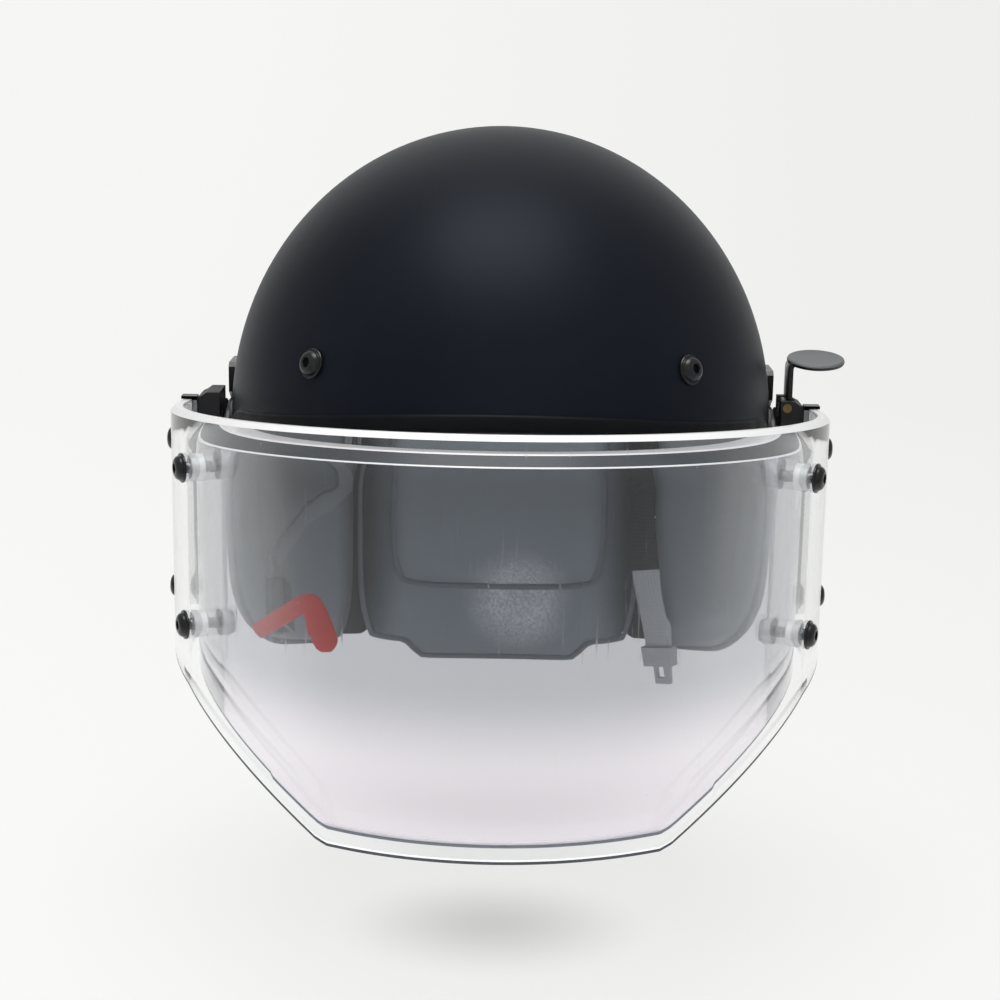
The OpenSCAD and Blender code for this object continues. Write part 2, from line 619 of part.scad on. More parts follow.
panel_r = visor_r - sheet_t - panel_gap;
module inner_panel() {
    hole_r = shank_d / 2 + 0.2;
    slope = atan(top_slope);
    color([0.80, 0.78, 0.84, 0.4]) difference() {
        intersection() {
            translate([0, -visor_y, -chin_depth - 10]) linear_extrude(height = chin_depth + 60)
                layer_plan(panel_r, panel_t, panel_wrap, 0);
            translate([0, 60, 0]) rotate([90, 0, 0]) linear_extrude(height = 300) face_outline(panel_inset);
            under_top(sheet_top - panel_step);
        }
        // Bevel along the upper front edge, a cone laid in the plane of the sloped top
        translate([0, -visor_y, sheet_top - panel_step - visor_r * top_slope]) rotate([-slope, 0, 0])
            translate([0, 0, -panel_bevel]) difference() {
                cylinder(r = panel_r + 20, h = 40, $fn = 240);
                translate([0, 0, -0.01]) cylinder(r1 = panel_r, r2 = panel_r - 40 * 0.9, h = 40.1, $fn = 240);
            }
        each_panel_screw() translate([0, 0, -40]) cylinder(r = hole_r, h = 60, $fn = 32);
    }
}

// Places its child at each of the four panel screws, +Z outwards, at the sheet's outer face
module each_panel_screw() {
    for (s = [-1, 1], k = [0, 1])
        along([s * visor_r * sin(panel_screw_turn), -visor_y - visor_r * cos(panel_screw_turn),
               -screw_z - k * screw_pitch], [s * sin(panel_screw_turn), -cos(panel_screw_turn), 0]) children();
}
module each_arm_screw() {
    for (s = [-1, 1], k = [0, 1])
        along([s * visor_r, -arm_screw_y, -screw_z - k * screw_pitch], [s, 0, 0]) children();
}

module panel_screws() {
    stack = sheet_t + panel_gap + panel_t;
    color([0.06, 0.06, 0.06]) each_panel_screw() translate([0, 0, 0.25]) dome_screw(stack + 2.6);
}
module panel_collars() {
    color([0.75, 0.76, 0.78]) each_panel_screw() translate([0, 0, -sheet_t - panel_gap + 0.1]) difference() {
        cylinder(d = collar_d, h = panel_gap - 0.35, $fn = 48);
        translate([0, 0, -1]) cylinder(d = shank_d + 0.3, h = panel_gap + 2, $fn = 32);
    }
}
module panel_nuts() {
    stack = sheet_t + panel_gap + panel_t;
    color([0.75, 0.76, 0.78]) each_panel_screw() translate([0, 0, -stack - 0.25]) mirror([0, 0, 1])
        cap_nut(collar_d, nut_h);
}
module arm_screws() {
    color([0.06, 0.06, 0.06]) each_arm_screw() dome_screw(sheet_t + arm_t + 2.6);
}
module arm_nuts() {
    color([0.75, 0.76, 0.78]) each_arm_screw() translate([0, 0, -sheet_t - arm_t - arm_gap]) mirror([0, 0, 1])
        cap_nut(arm_nut_d, nut_h);
}

arm_end_r = 9;
lip_y = 6;
lip_w = 6;
lip_t = 1.4;

// Steel arm on the inner face of the sheet, from the pivot to both rear screws
module carrier_arm() {
    lip_z = sheet_top - (visor_r + visor_y - lip_y - lip_w / 2) * top_slope;
    difference() {
        union() {
            translate([arm_in, 0, 0]) rotate([90, 0, 90]) linear_extrude(height = arm_t) difference() {
                union() {
                    hull() {
                        translate([pivot_y, -pivot_depth]) circle(r = hub_r - 3, $fn = 48);
                        translate([-arm_screw_y + 3, -screw_z - 3]) circle(r = arm_end_r, $fn = 32);
                    }
                    hull() {
                        translate([-arm_screw_y, -screw_z]) circle(r = arm_end_r, $fn = 32);
                        translate([-arm_screw_y, -screw_z - screw_pitch]) circle(r = arm_end_r, $fn = 32);
                    }
                    translate([-lip_y - lip_w, -10]) square([lip_w, lip_z + 11.5]);
                }
                hull() for (k = [0.28, 0.72])
                    translate([-arm_screw_y, -screw_z - k * screw_pitch]) circle(r = 3.5, $fn = 32);
            }
            translate([arm_in, -lip_y - lip_w, lip_z + 0.6]) cube([sheet_t + arm_t - 1.2, lip_w, lip_t]);
        }
        translate([arm_in - 1, pivot_y, -pivot_depth]) rotate([0, 90, 0])
            cylinder(d = pivot_d + 2 * run_gap, h = arm_t + 2, $fn = 64);
        for (k = [0, 1]) translate([arm_in - 1, -arm_screw_y, -screw_z - k * screw_pitch])
            rotate([0, 90, 0]) cylinder(d = shank_d + 0.3, h = arm_t + 2, $fn = 32);
    }
}
module carrier_arm_left() { color([0.62, 0.63, 0.65]) carrier_arm(); }
module carrier_arm_right() { color([0.62, 0.63, 0.65]) mirror([1, 0, 0]) carrier_arm(); }

// Moulded hub between the hinge plate and the arm, with the block that carries the lever
module hinge_hub(with_lever) {
    hub_in = plate_out + 0.3;
    difference() {
        union() {
            translate([hub_in, pivot_y, -pivot_depth]) rotate([0, 90, 0])
                cylinder(r = hub_r, h = arm_in - hub_in, $fn = 96);
            translate([hub_in + 0.1, -block_w / 2, -pivot_depth + 4])
                cube([arm_in - hub_in - 0.1, block_w, ear_top + pivot_depth - 4]);
        }
        translate([hub_in - 1, pivot_y, -pivot_depth]) rotate([0, 90, 0])
            cylinder(d = pivot_d + 2 * run_gap, h = side_room, $fn = 64);
        translate([0, 0, ear_top - 2.5]) rotate([90, 0, 0]) linear_extrude(height = 3 * block_w, center = true)
            polygon([[arm_in + 1, -0.5], [arm_in + 1, 3], [arm_in - 5, 3], [arm_in - 1.8, 0.7]]);
        if (with_lever) {
            translate([hub_in - 1, -lever_w / 2 - 0.4, lever_pin_z - 3.6]) cube([arm_in - hub_in - 2, lever_w + 0.8, 20]);
            translate([hub_in - 1, -3.6, -6]) cube([7, 7.2, 12]);
            translate([pin_x, 0, lever_pin_z]) rotate([90, 0, 0])
                cylinder(d = lever_pin_d + 2 * run_gap, h = 3 * block_w, center = true, $fn = 48);
        }
    }
}
module hinge_hub_left() { color([0.08, 0.08, 0.08]) hinge_hub(true); }
module hinge_hub_right() { color([0.08, 0.08, 0.08]) mirror([1, 0, 0]) hinge_hub(false); }

// Thumb lever: knuckle on its pin, bent strip, round pad, and the tooth that runs in the groove
module latch_lever() {
    strip_in = pin_x + 0.3;
    pad_x = strip_in + thumb_d / 2;
    bend = 5;
    color([0.13, 0.14, 0.14]) difference() {
        union() {
            translate([pin_x, 0, lever_pin_z]) rotate([90, 0, 0])
                cylinder(r = lever_pin_d / 2 + 1, h = 7, center = true, $fn = 48);
            rotate([90, 0, 0]) linear_extrude(height = lever_w, center = true) {
                translate([strip_in, lever_pin_z + 3.4]) square([lever_t, thumb_z - bend - lever_pin_z - 3.4]);
                translate([strip_in + bend, thumb_z - bend]) difference() {
                    circle(r = bend, $fn = 48);
                    circle(r = bend - lever_t, $fn = 48);
                    translate([-bend - 1, -bend - 1]) square([2 * bend + 2, bend + 1]);
                    translate([0, -1]) square([bend + 1, bend + 2]);
                }
                translate([strip_in + bend - 0.01, thumb_z - lever_t]) square([3, lever_t]);
            }
            translate([strip_in, -3.5, lever_pin_z]) cube([lever_t, 7, 4]);
            translate([pad_x, 0, thumb_z - lever_t / 2]) rotate([thumb_tilt, 0, 0])
                cylinder(d = thumb_d, h = lever_t, center = true, $fn = 96);
            translate([tooth_in + 1.5, -3, -3]) cube([2.5, 6, lever_pin_z + 2]);
            translate([tooth_in, -3, -3]) cube([3, 6, 3.4]);
        }
        translate([pin_x, 0, lever_pin_z]) rotate([90, 0, 0])
            cylinder(d = lever_pin_d + 2 * run_gap, h = 2 * lever_w, center = true, $fn = 48);
    }
}
module lever_pin() {
    color([0.72, 0.60, 0.30]) translate([pin_x, 0, lever_pin_z]) rotate([90, 0, 0]) {
        cylinder(d = lever_pin_d, h = block_w + 0.6, center = true, $fn = 48);
        translate([0, 0, block_w / 2 + 0.1]) cylinder(d = lever_pin_d + 1, h = 0.8, $fn = 48);
    }
}
module latch_spring() {
    color([0.6, 0.6, 0.62]) translate([pin_x, 5.2, lever_pin_z]) rotate([90, 0, 0]) difference() {
        cylinder(d = lever_pin_d + 1.8, h = 2.4, center = true, $fn = 48);
        cylinder(d = lever_pin_d + 0.2, h = 4, center = true, $fn = 48);
    }
}

shell();
edge_trim();
shell_screws();
shell_nuts();
crown_pad();
brow_pad();
side_pad_left();
side_pad_right();
rear_pad();
ear_guard_left();
ear_guard_right();
nape_guard();
nape_pad();
seam_strips();
chin_strap_left();
chin_strap_right();
nape_strap();
buckle_socket();
buckle_plug();
release_tab();
hinge_plate_left();
hinge_plate_right();
hinge_screws();
pivot_pins();
pivot_nuts();
outer_sheet();
inner_panel();
panel_screws();
panel_collars();
panel_nuts();
carrier_arm_left();
carrier_arm_right();
arm_screws();
arm_nuts();
hinge_hub_left();
hinge_hub_right();
latch_lever();
lever_pin();
latch_spring();
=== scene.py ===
import logging
import math
from collections.abc import Sequence
from dataclasses import dataclass, replace
from enum import Enum, IntEnum

import bmesh
import bpy
import numpy as np
from bpy.types import Material, Mesh, Node, NodeSocket, NodeTree, Object
from mathutils import Matrix


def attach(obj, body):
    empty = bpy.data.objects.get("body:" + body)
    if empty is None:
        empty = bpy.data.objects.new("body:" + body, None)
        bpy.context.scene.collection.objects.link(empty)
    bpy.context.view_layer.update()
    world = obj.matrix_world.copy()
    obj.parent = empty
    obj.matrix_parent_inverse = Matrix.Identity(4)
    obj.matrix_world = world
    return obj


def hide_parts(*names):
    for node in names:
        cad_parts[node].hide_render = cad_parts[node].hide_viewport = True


# Helmet with a lifting two-layer visor. Lengths are in millimetres until a mesh is made.
# Turns run from the front, 0, over the wearer's left ear, 90, to the nape, 180.

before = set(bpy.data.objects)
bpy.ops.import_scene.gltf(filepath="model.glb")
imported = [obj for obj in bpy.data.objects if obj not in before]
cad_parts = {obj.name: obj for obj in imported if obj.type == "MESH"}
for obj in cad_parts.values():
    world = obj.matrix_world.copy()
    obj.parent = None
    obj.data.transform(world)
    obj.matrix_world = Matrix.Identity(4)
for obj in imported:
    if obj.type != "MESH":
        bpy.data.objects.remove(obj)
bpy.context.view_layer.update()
LOG = logging.getLogger("helmet")
MM = 0.001

# A tone is a colour as a screen shows it, 0 to 255. A colour is linear light, with its opacity.
Tone = tuple[int, int, int]
Colour = tuple[float, float, float, float]
Sockets = bpy.types.bpy_prop_collection


class Body(Enum):
    """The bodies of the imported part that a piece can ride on."""

    HELMET = "helmet"
    VISOR = "visor"
    LEVER = "lever"


class Side(Enum):
    """The wearer's sides, with the sign of X."""

    LEFT = 1
    RIGHT = -1

    @property
    def label(self) -> str:
        """The side in the names of pieces and nodes."""
        return self.name.lower()


class Yarn(Enum):
    """How a cloth is made: how its threads cross."""

    PLAIN = "plain"
    RIBBED = "ribbed"


class Strip(IntEnum):
    """The materials of a clear layer, by their place in its list."""

    FACE = 0
    CUT = 1
    BEVEL = 2
    LINE = 3


# Arrays and meshes


def quads(rows: int, cols: int, close_rows: bool = False, close_cols: bool = False) -> list[list[int]]:
    """Faces of a grid of points that is stored row by row.

    Args:
        rows: Number of rows of points.
        cols: Number of points in a row.
        close_rows: Whether the last row joins the first.
        close_cols: Whether each row closes on itself.

    Returns:
        The corners of each face.
    """
    i = np.arange(rows if close_rows else rows - 1)[:, None]
    j = np.arange(cols if close_cols else cols - 1)[None, :]
    below, beside = (i + 1) % rows, (j + 1) % cols
    corners = [i * cols + j, i * cols + beside, below * cols + beside, below * cols + j]
    return np.stack(np.broadcast_arrays(*corners), axis=-1).reshape(-1, 4).tolist()


def caps(rows: int, cols: int) -> list[list[int]]:
    """Both end faces of a tube of closed rows of points."""
    return [list(range(cols))[::-1], list(range((rows - 1) * cols, rows * cols))]


def fan(ring: np.ndarray, pole: int) -> list[list[int]]:
    """Triangles from each side of a closed ring of points to one point."""
    return np.stack([ring, np.roll(ring, -1), np.full(len(ring), pole)], axis=1).tolist()


def unit(v: np.ndarray) -> np.ndarray:
    """Vectors divided by their lengths, along the last axis."""
    return v / np.maximum(np.linalg.norm(v, axis=-1, keepdims=True), 1e-12)


def run_of(path: np.ndarray) -> np.ndarray:
    """Length along a path at each of its points."""
    return np.concatenate([[0], np.cumsum(np.linalg.norm(np.diff(path, axis=0), axis=1))])


def ease(x: np.ndarray, low: float, high: float) -> np.ndarray:
    """Smooth step from 0 at low to 1 at high: 3 t squared less 2 t cubed."""
    t = np.clip((x - low) / (high - low), 0.0, 1.0)
    return t * t * (3 - 2 * t)


def smooth_path(knots: Sequence[Sequence[float]], count: int) -> np.ndarray:
    """Curve through the knots, evenly spread by length.

    Each stretch is a Catmull-Rom cubic of its two knots and their neighbours, where the outer
    neighbours of the ends are mirrored knots.

    Args:
        knots: Points in any number of dimensions.
        count: Number of points to return.

    Returns:
        The points of the curve.
    """
    k = np.asarray(knots, float)
    k = np.vstack([2 * k[0] - k[1], k, 2 * k[-1] - k[-2]])
    t = np.linspace(0, len(k) - 3 - 1e-9, 24 * len(k))
    i, f = t.astype(int), (t % 1)[:, None]
    a, b, c, d = k[i], k[i + 1], k[i + 2], k[i + 3]
    bent = (2 * a - 5 * b + 4 * c - d) * f**2 + (3 * b - a - 3 * c + d) * f**3
    line = 0.5 * (2 * b + (c - a) * f + bent)
    run = run_of(line)
    at = np.linspace(0, run[-1], count)
    return np.stack([np.interp(at, run, line[:, n]) for n in range(k.shape[1])], axis=1)


def round_box(width: float, thick: float, radius: float, steps: int = 4) -> np.ndarray:
    """Outline of a rectangle with round corners, centred on 0, as (along width, along thickness).

    Args:
        width: Full width.
        thick: Full thickness.
        radius: Radius of the corners.
        steps: Points in each corner.

    Returns:
        Points in order round the outline.
    """
    turn = np.linspace(0, math.pi / 2, steps)
    parts = []
    for quarter, (sx, sy) in enumerate([(1, 1), (-1, 1), (-1, -1), (1, -1)]):
        a = turn + quarter * math.pi / 2
        centre = np.array([sx * (width / 2 - radius), sy * (thick / 2 - radius)])
        parts.append(centre + radius * np.stack([np.cos(a), np.sin(a)], axis=1))
    return np.vstack(parts)


def make_piece(
    name: str,
    points: np.ndarray,
    faces: list[list[int]],
    marks: Sequence[int] | None = None,
    uv: np.ndarray | None = None,
    crease: float = 38.0,
) -> Object:
    """Makes a mesh object at the origin from points in millimetres.

    Args:
        name: Name of the object.
        points: The points, in any grid shape with three numbers last.
        faces: The corners of each face.
        marks: Material index of each face.
        uv: Pattern coordinates of each point, in metres.
        crease: Angle in degrees from which an edge stays sharp.

    Returns:
        The object, linked to the scene, with its faces pointing outwards.
    """
    mesh = bpy.data.meshes.new(name)
    mesh.from_pydata((points.reshape(-1, 3) * MM).tolist(), [], faces)
    if marks is not None:
        mesh.polygons.foreach_set("material_index", np.asarray(marks, np.int32))
    if uv is not None:
        corners = np.empty(len(mesh.loops), np.int32)
        mesh.loops.foreach_get("vertex_index", corners)
        layer = mesh.uv_layers.new(name="pattern")
        layer.data.foreach_set("uv", uv.reshape(-1, 2)[corners].astype(np.float32).ravel())
    bm = bmesh.new()
    bm.from_mesh(mesh)
    bmesh.ops.recalc_face_normals(bm, faces=bm.faces)
    bm.to_mesh(mesh)
    bm.free()
    mesh.shade_smooth()
    mesh.set_sharp_from_angle(angle=math.radians(crease))
    piece = bpy.data.objects.new(name, mesh)
    bpy.context.scene.collection.objects.link(piece)
    return piece


def swept(
    name: str, profile: np.ndarray, path: np.ndarray, side: np.ndarray,
    scale: np.ndarray | float = 1.0, closed: bool = False,
) -> Object:
    """Carries a closed profile along a path.

    A point of the solid is the path's point, plus side times the profile's first number times
    scale, plus the normal, which is the side crossed with the path's direction, times the second.

    Args:
        name: Name of the object.
        profile: Closed outline, as (along side, along normal).
        path: Points of the path.
        side: Direction of the profile's width, one for all or one for each point.
        scale: Share of the profile's width at each point.
        closed: Whether the path joins its own start.

    Returns:
        The object, with pattern coordinates: across, then along the path.
    """
    around = np.roll(path, -1, axis=0) - np.roll(path, 1, axis=0)
    heading = unit(around if closed else np.gradient(path, axis=0))
    side = np.broadcast_to(side, path.shape)
    side = unit(side - np.sum(side * heading, axis=1, keepdims=True) * heading)
    normal = np.cross(side, heading)[:, None, :]
    wide = np.broadcast_to(np.asarray(scale, float), (len(path),))[:, None, None]
    points = path[:, None, :] + side[:, None, :] * profile[:, :1] * wide + normal * profile[:, 1:]
    rows, cols = points.shape[:2]
    faces = quads(rows, cols, close_rows=closed, close_cols=True)
    if not closed:
        faces += caps(rows, cols)
    uv = np.stack(np.broadcast_arrays(profile[None, :, 0], run_of(path)[:, None]), axis=-1) * MM
    return make_piece(name, points, faces, uv=uv)


def join(name: str, parts: list[Object]) -> Object:
    """Joins objects into the first one and names it.

    Args:
        name: Name of the joined object.
        parts: The objects, at least one.

    Returns:
        The first object, with the others in it.
    """
    with bpy.context.temp_override(
        active_object=parts[0], object=parts[0], selected_objects=parts, selected_editable_objects=parts
    ):
        bpy.ops.object.join()
    parts[0].name = name
    parts[0].data.name = name
    return parts[0]


# Finishes


def srgb(tone: Tone) -> Colour:
    """Linear light of a tone.

    Args:
        tone: Red, green and blue.

    Returns:
        Red, green and blue of the light, and an opacity of 1.
    """
    share = np.array(tone) / 255
    linear = np.where(share <= 0.04045, share / 12.92, ((share + 0.055) / 1.055) ** 2.4)
    return (*(float(c) for c in linear), 1.0)


class Graph:
    """Adds nodes to a node tree and links or sets their inputs."""

    def __init__(self, tree: NodeTree) -> None:
        """Keeps the tree that the nodes go into."""
        self.tree = tree

    def feed(self, node: Node, inputs: dict) -> Node:
        """Links each socket, and sets each plain value, to the input of its name or number.

        Args:
            node: The node.
            inputs: Value or socket for each input.

        Returns:
            The node.
        """
        for key, value in inputs.items():
            if isinstance(value, NodeSocket):
                self.tree.links.new(value, node.inputs[key])
            else:
                node.inputs[key].default_value = value
        return node

    def add(self, kind: str, inputs: dict | None = None, **settings: object) -> Node:
        """Adds a node.

        Args:
            kind: Type of the node.
            inputs: Value or socket for each input, by name or number.
            settings: Properties of the node.

        Returns:
            The node.
        """
        node = self.tree.nodes.new(kind)
        for key, value in settings.items():
            setattr(node, key, value)
        return self.feed(node, inputs or {})

    def math(self, operation: str, *values: object) -> NodeSocket:
        """Result of a Math node with these values or sockets."""
        return self.add("ShaderNodeMath", dict(enumerate(values)), operation=operation).outputs[0]

    def spread(self, value: NodeSocket, low: float, high: float, start: float = 0.0,
               end: float = 1.0, kind: str = "LINEAR") -> NodeSocket:
        """A value spread evenly: low where it is at the start, high where it is at the end."""
        reach = {"Value": value, "From Min": start, "From Max": end, "To Min": low, "To Max": high}
        return self.add("ShaderNodeMapRange", reach, interpolation_type=kind).outputs[0]

    def smooth(self, value: NodeSocket, low: float, high: float, start: float, end: float) -> NodeSocket:
        """The same as spread, with a soft start and end."""
        return self.spread(value, low, high, start, end, "SMOOTHSTEP")

    def blend(self, factor: object, first: object, second: object) -> NodeSocket:
        """Colour between first and second by the factor."""
        colours = {0: factor, 6: first, 7: second}
        return self.add("ShaderNodeMix", colours, data_type="RGBA").outputs[2]

    def bump(self, height: NodeSocket, strength: float, depth: float) -> NodeSocket:
        """Normal that a height gives, its depth in millimetres."""
        inputs = {"Height": height, "Strength": strength, "Distance": depth * MM}
        return self.add("ShaderNodeBump", inputs).outputs[0]

    def coords(self) -> Sockets:
        """The coordinates of a point of the piece, by name."""
        return self.add("ShaderNodeTexCoord").outputs

    def split(self, vector: NodeSocket) -> Sockets:
        """X, Y and Z of a vector."""
        return self.add("ShaderNodeSeparateXYZ", {0: vector}).outputs

    def off_middle(self, *axes: tuple[NodeSocket, float, float]) -> NodeSocket:
        """Distance from the middle of an oval, 1 at its edge.

        It is the root of the sum of squares, each of a coordinate less the middle, over the half width.

        Args:
            axes: Coordinate, middle and half width in millimetres, for each of two axes.

        Returns:
            The distance.
        """
        shares = [self.math("DIVIDE", self.math("SUBTRACT", at, middle * MM), half * MM)
                  for at, middle, half in axes]
        return self.math("SQRT", self.math("ADD", *(self.math("POWER", s, 2.0) for s in shares)))

    def surface(self, share: NodeSocket, first: Node, second: Node) -> None:
        """Puts a mix of two shaders on the material's output.

        Args:
            share: Share of the second shader.
            first: The first shader.
            second: The second shader.
        """
        mix = self.add("ShaderNodeMixShader", {0: share, 1: first.outputs[0], 2: second.outputs[0]})
        out = next(n for n in self.tree.nodes if n.type == "OUTPUT_MATERIAL")
        self.feed(out, {"Surface": mix.outputs[0]})


class Effect:
    """A node group of one effect that several finishes place with their own values."""

    def __init__(self, name: str, inputs: dict[str, float], outputs: list[str],
                 vector: bool = True) -> None:
        """Makes the group's sockets.

        Args:
            name: Name of the group.
            inputs: Numbers that it takes, with their usual values.
            outputs: Values that it gives.
            vector: Whether it also takes a place on the piece.
        """
        self.tree = bpy.data.node_groups.new(name, "ShaderNodeTree")
        number_kind = "NodeSocketFloat"
        if vector:
            self.tree.interface.new_socket("Place", in_out="INPUT", socket_type="NodeSocketVector")
        for label, value in inputs.items():
            number = self.tree.interface.new_socket(label, in_out="INPUT", socket_type=number_kind)
            number.default_value = value
        for label in outputs:
            self.tree.interface.new_socket(label, in_out="OUTPUT", socket_type=number_kind)
        self.graph = Graph(self.tree)
        self.start = self.graph.add("NodeGroupInput").outputs
        self.end = self.graph.add("NodeGroupOutput").inputs

    def give(self, label: str, socket: NodeSocket) -> None:
        """Links a value to one of the group's outputs."""
        self.tree.links.new(socket, self.end[label])

    def place(self, graph: Graph, inputs: dict) -> Sockets:
        """Places the group in a material and returns its outputs."""
        return graph.add("ShaderNodeGroup", inputs, node_tree=self.tree).outputs


class Effects:
    """The effects that the finishes share."""

    def __init__(self) -> None:
        """Builds each group once."""
        self.grain = self.make_grain()
        self.weave = self.make_weave()
        self.dust = self.make_dust()

    def make_grain(self) -> Effect:
        """Grain of a surface: broad mottling from slow noise and fine height from quick noise.

        Returns:
            The effect, which takes a scale for each and gives both.
        """
        effect = Effect("surface_grain", {"Scale": 60.0, "Fine": 900.0}, ["Mottle", "Height"])
        noise = {"Vector": effect.start["Place"], "Detail": 5.0, "Roughness": 0.6}
        g = effect.graph
        broad = g.add("ShaderNodeTexNoise", noise | {"Scale": effect.start["Scale"]})
        fine = g.add("ShaderNodeTexNoise", noise | {"Scale": effect.start["Fine"], "Detail": 2.0})
        effect.give("Mottle", g.spread(broad.outputs[0], -0.55, 1.55))
        effect.give("Height", fine.outputs[0])
        return effect

    def make_weave(self) -> Effect:
        """Threads: the height is the product of two sines, or for a rib a weighted sum of both.

        Returns:
            The effect, which takes lengths in metres and gives height and shade.
        """
        effect = Effect("thread_weave", {"Across": 0.0, "Along": 0.0, "Pitch": 0.0012, "Rib": 0.0},
                        ["Height", "Shade"], vector=False)
        g = effect.graph
        shares = [g.math("DIVIDE", effect.start[k], effect.start["Pitch"]) for k in ("Across", "Along")]
        turns = [g.math("MULTIPLY", share, 2 * math.pi) for share in shares]
        across, along = (g.math("SINE", t) for t in turns)
        crossed = g.math("MULTIPLY", across, along)
        ribbed = g.math("ADD", g.math("MULTIPLY", along, 0.35), g.math("MULTIPLY", across, 0.65))
        mixed = g.add("ShaderNodeMix", {0: effect.start["Rib"], 2: crossed, 3: ribbed}).outputs[0]
        height = g.spread(g.math("MULTIPLY_ADD", mixed, 0.5, 0.5), 0.0, 1.0)
        effect.give("Height", height)
        effect.give("Shade", g.math("POWER", height, 0.6))
        return effect

    def make_dust(self) -> Effect:
        """Specks and hairlines: small cells near their centres, and stretched noise over a bar.

        Returns:
            The effect, which gives a mask of each.
        """
        effect = Effect("dust_and_hairlines", {"Density": 240.0, "Size": 0.06}, ["Specks", "Lines"])
        g = effect.graph
        place = effect.start["Place"]
        cells = g.add("ShaderNodeTexVoronoi", {"Vector": place, "Scale": effect.start["Density"]})
        near = g.math("LESS_THAN", cells.outputs["Distance"], effect.start["Size"])
        lot = g.add("ShaderNodeSeparateColor", {0: cells.outputs["Color"]}).outputs[0]
        effect.give("Specks", g.math("MULTIPLY", near, g.math("GREATER_THAN", lot, 0.985)))
        stretch = g.add("ShaderNodeMapping", {"Vector": place, "Scale": (1.0, 1.0, 0.06)})
        line = g.add("ShaderNodeTexNoise", {"Vector": stretch.outputs[0], "Scale": 420.0, "Detail": 3.0})
        effect.give("Lines", g.math("GREATER_THAN", line.outputs[0], 0.69))
        return effect


@dataclass(frozen=True)
class SolidFinish:
    """Paint, rubber, metal or moulded plastic.

    Its colour drifts between two tones by the grain's mottling, its roughness between two
    values, and the grain's height gives the relief.
    """

    name: str
    colour: Tone
    worn: Tone
    smooth: float
    rough: float
    metallic: float = 0.0
    specular: float = 0.5
    coat: float = 0.0
    gleam: Colour = (1.0, 1.0, 1.0, 1.0)
    mottle: float = 60.0
    grain: float = 900.0
    relief: float = 0.05
    black_above: tuple[float, float] | None = None

    def material(self, effects: Effects) -> Material:
        """Makes the material, with the pattern on Object coordinates.

        With black_above it is black where Z plus the first number times Y is over the second, in mm.

        Args:
            effects: The effects that the finishes share.

        Returns:
            The material.
        """
        mat, g, shader = new_material(self.name)
        place = g.coords()["Object"]
        grain = effects.grain.place(g, {"Place": place, "Scale": self.mottle, "Fine": self.grain})
        colour = g.blend(grain["Mottle"], srgb(self.colour), srgb(self.worn))
        if self.black_above is not None:
            _, y, z = g.split(place)
            height = g.math("ADD", z, g.math("MULTIPLY", y, self.black_above[0]))
            over = g.math("GREATER_THAN", height, self.black_above[1] * MM)
            colour = g.blend(over, colour, srgb((14, 15, 16)))
        g.feed(shader, {
            "Base Color": colour,
            "Roughness": g.spread(grain["Mottle"], self.smooth, self.rough),
            "Normal": g.bump(grain["Height"], 0.5, self.relief),
            "Metallic": self.metallic,
            "Specular IOR Level": self.specular,
            "Specular Tint": self.gleam,
            "Coat Weight": self.coat,
            "Coat Roughness": 0.25,
        })
        return mat


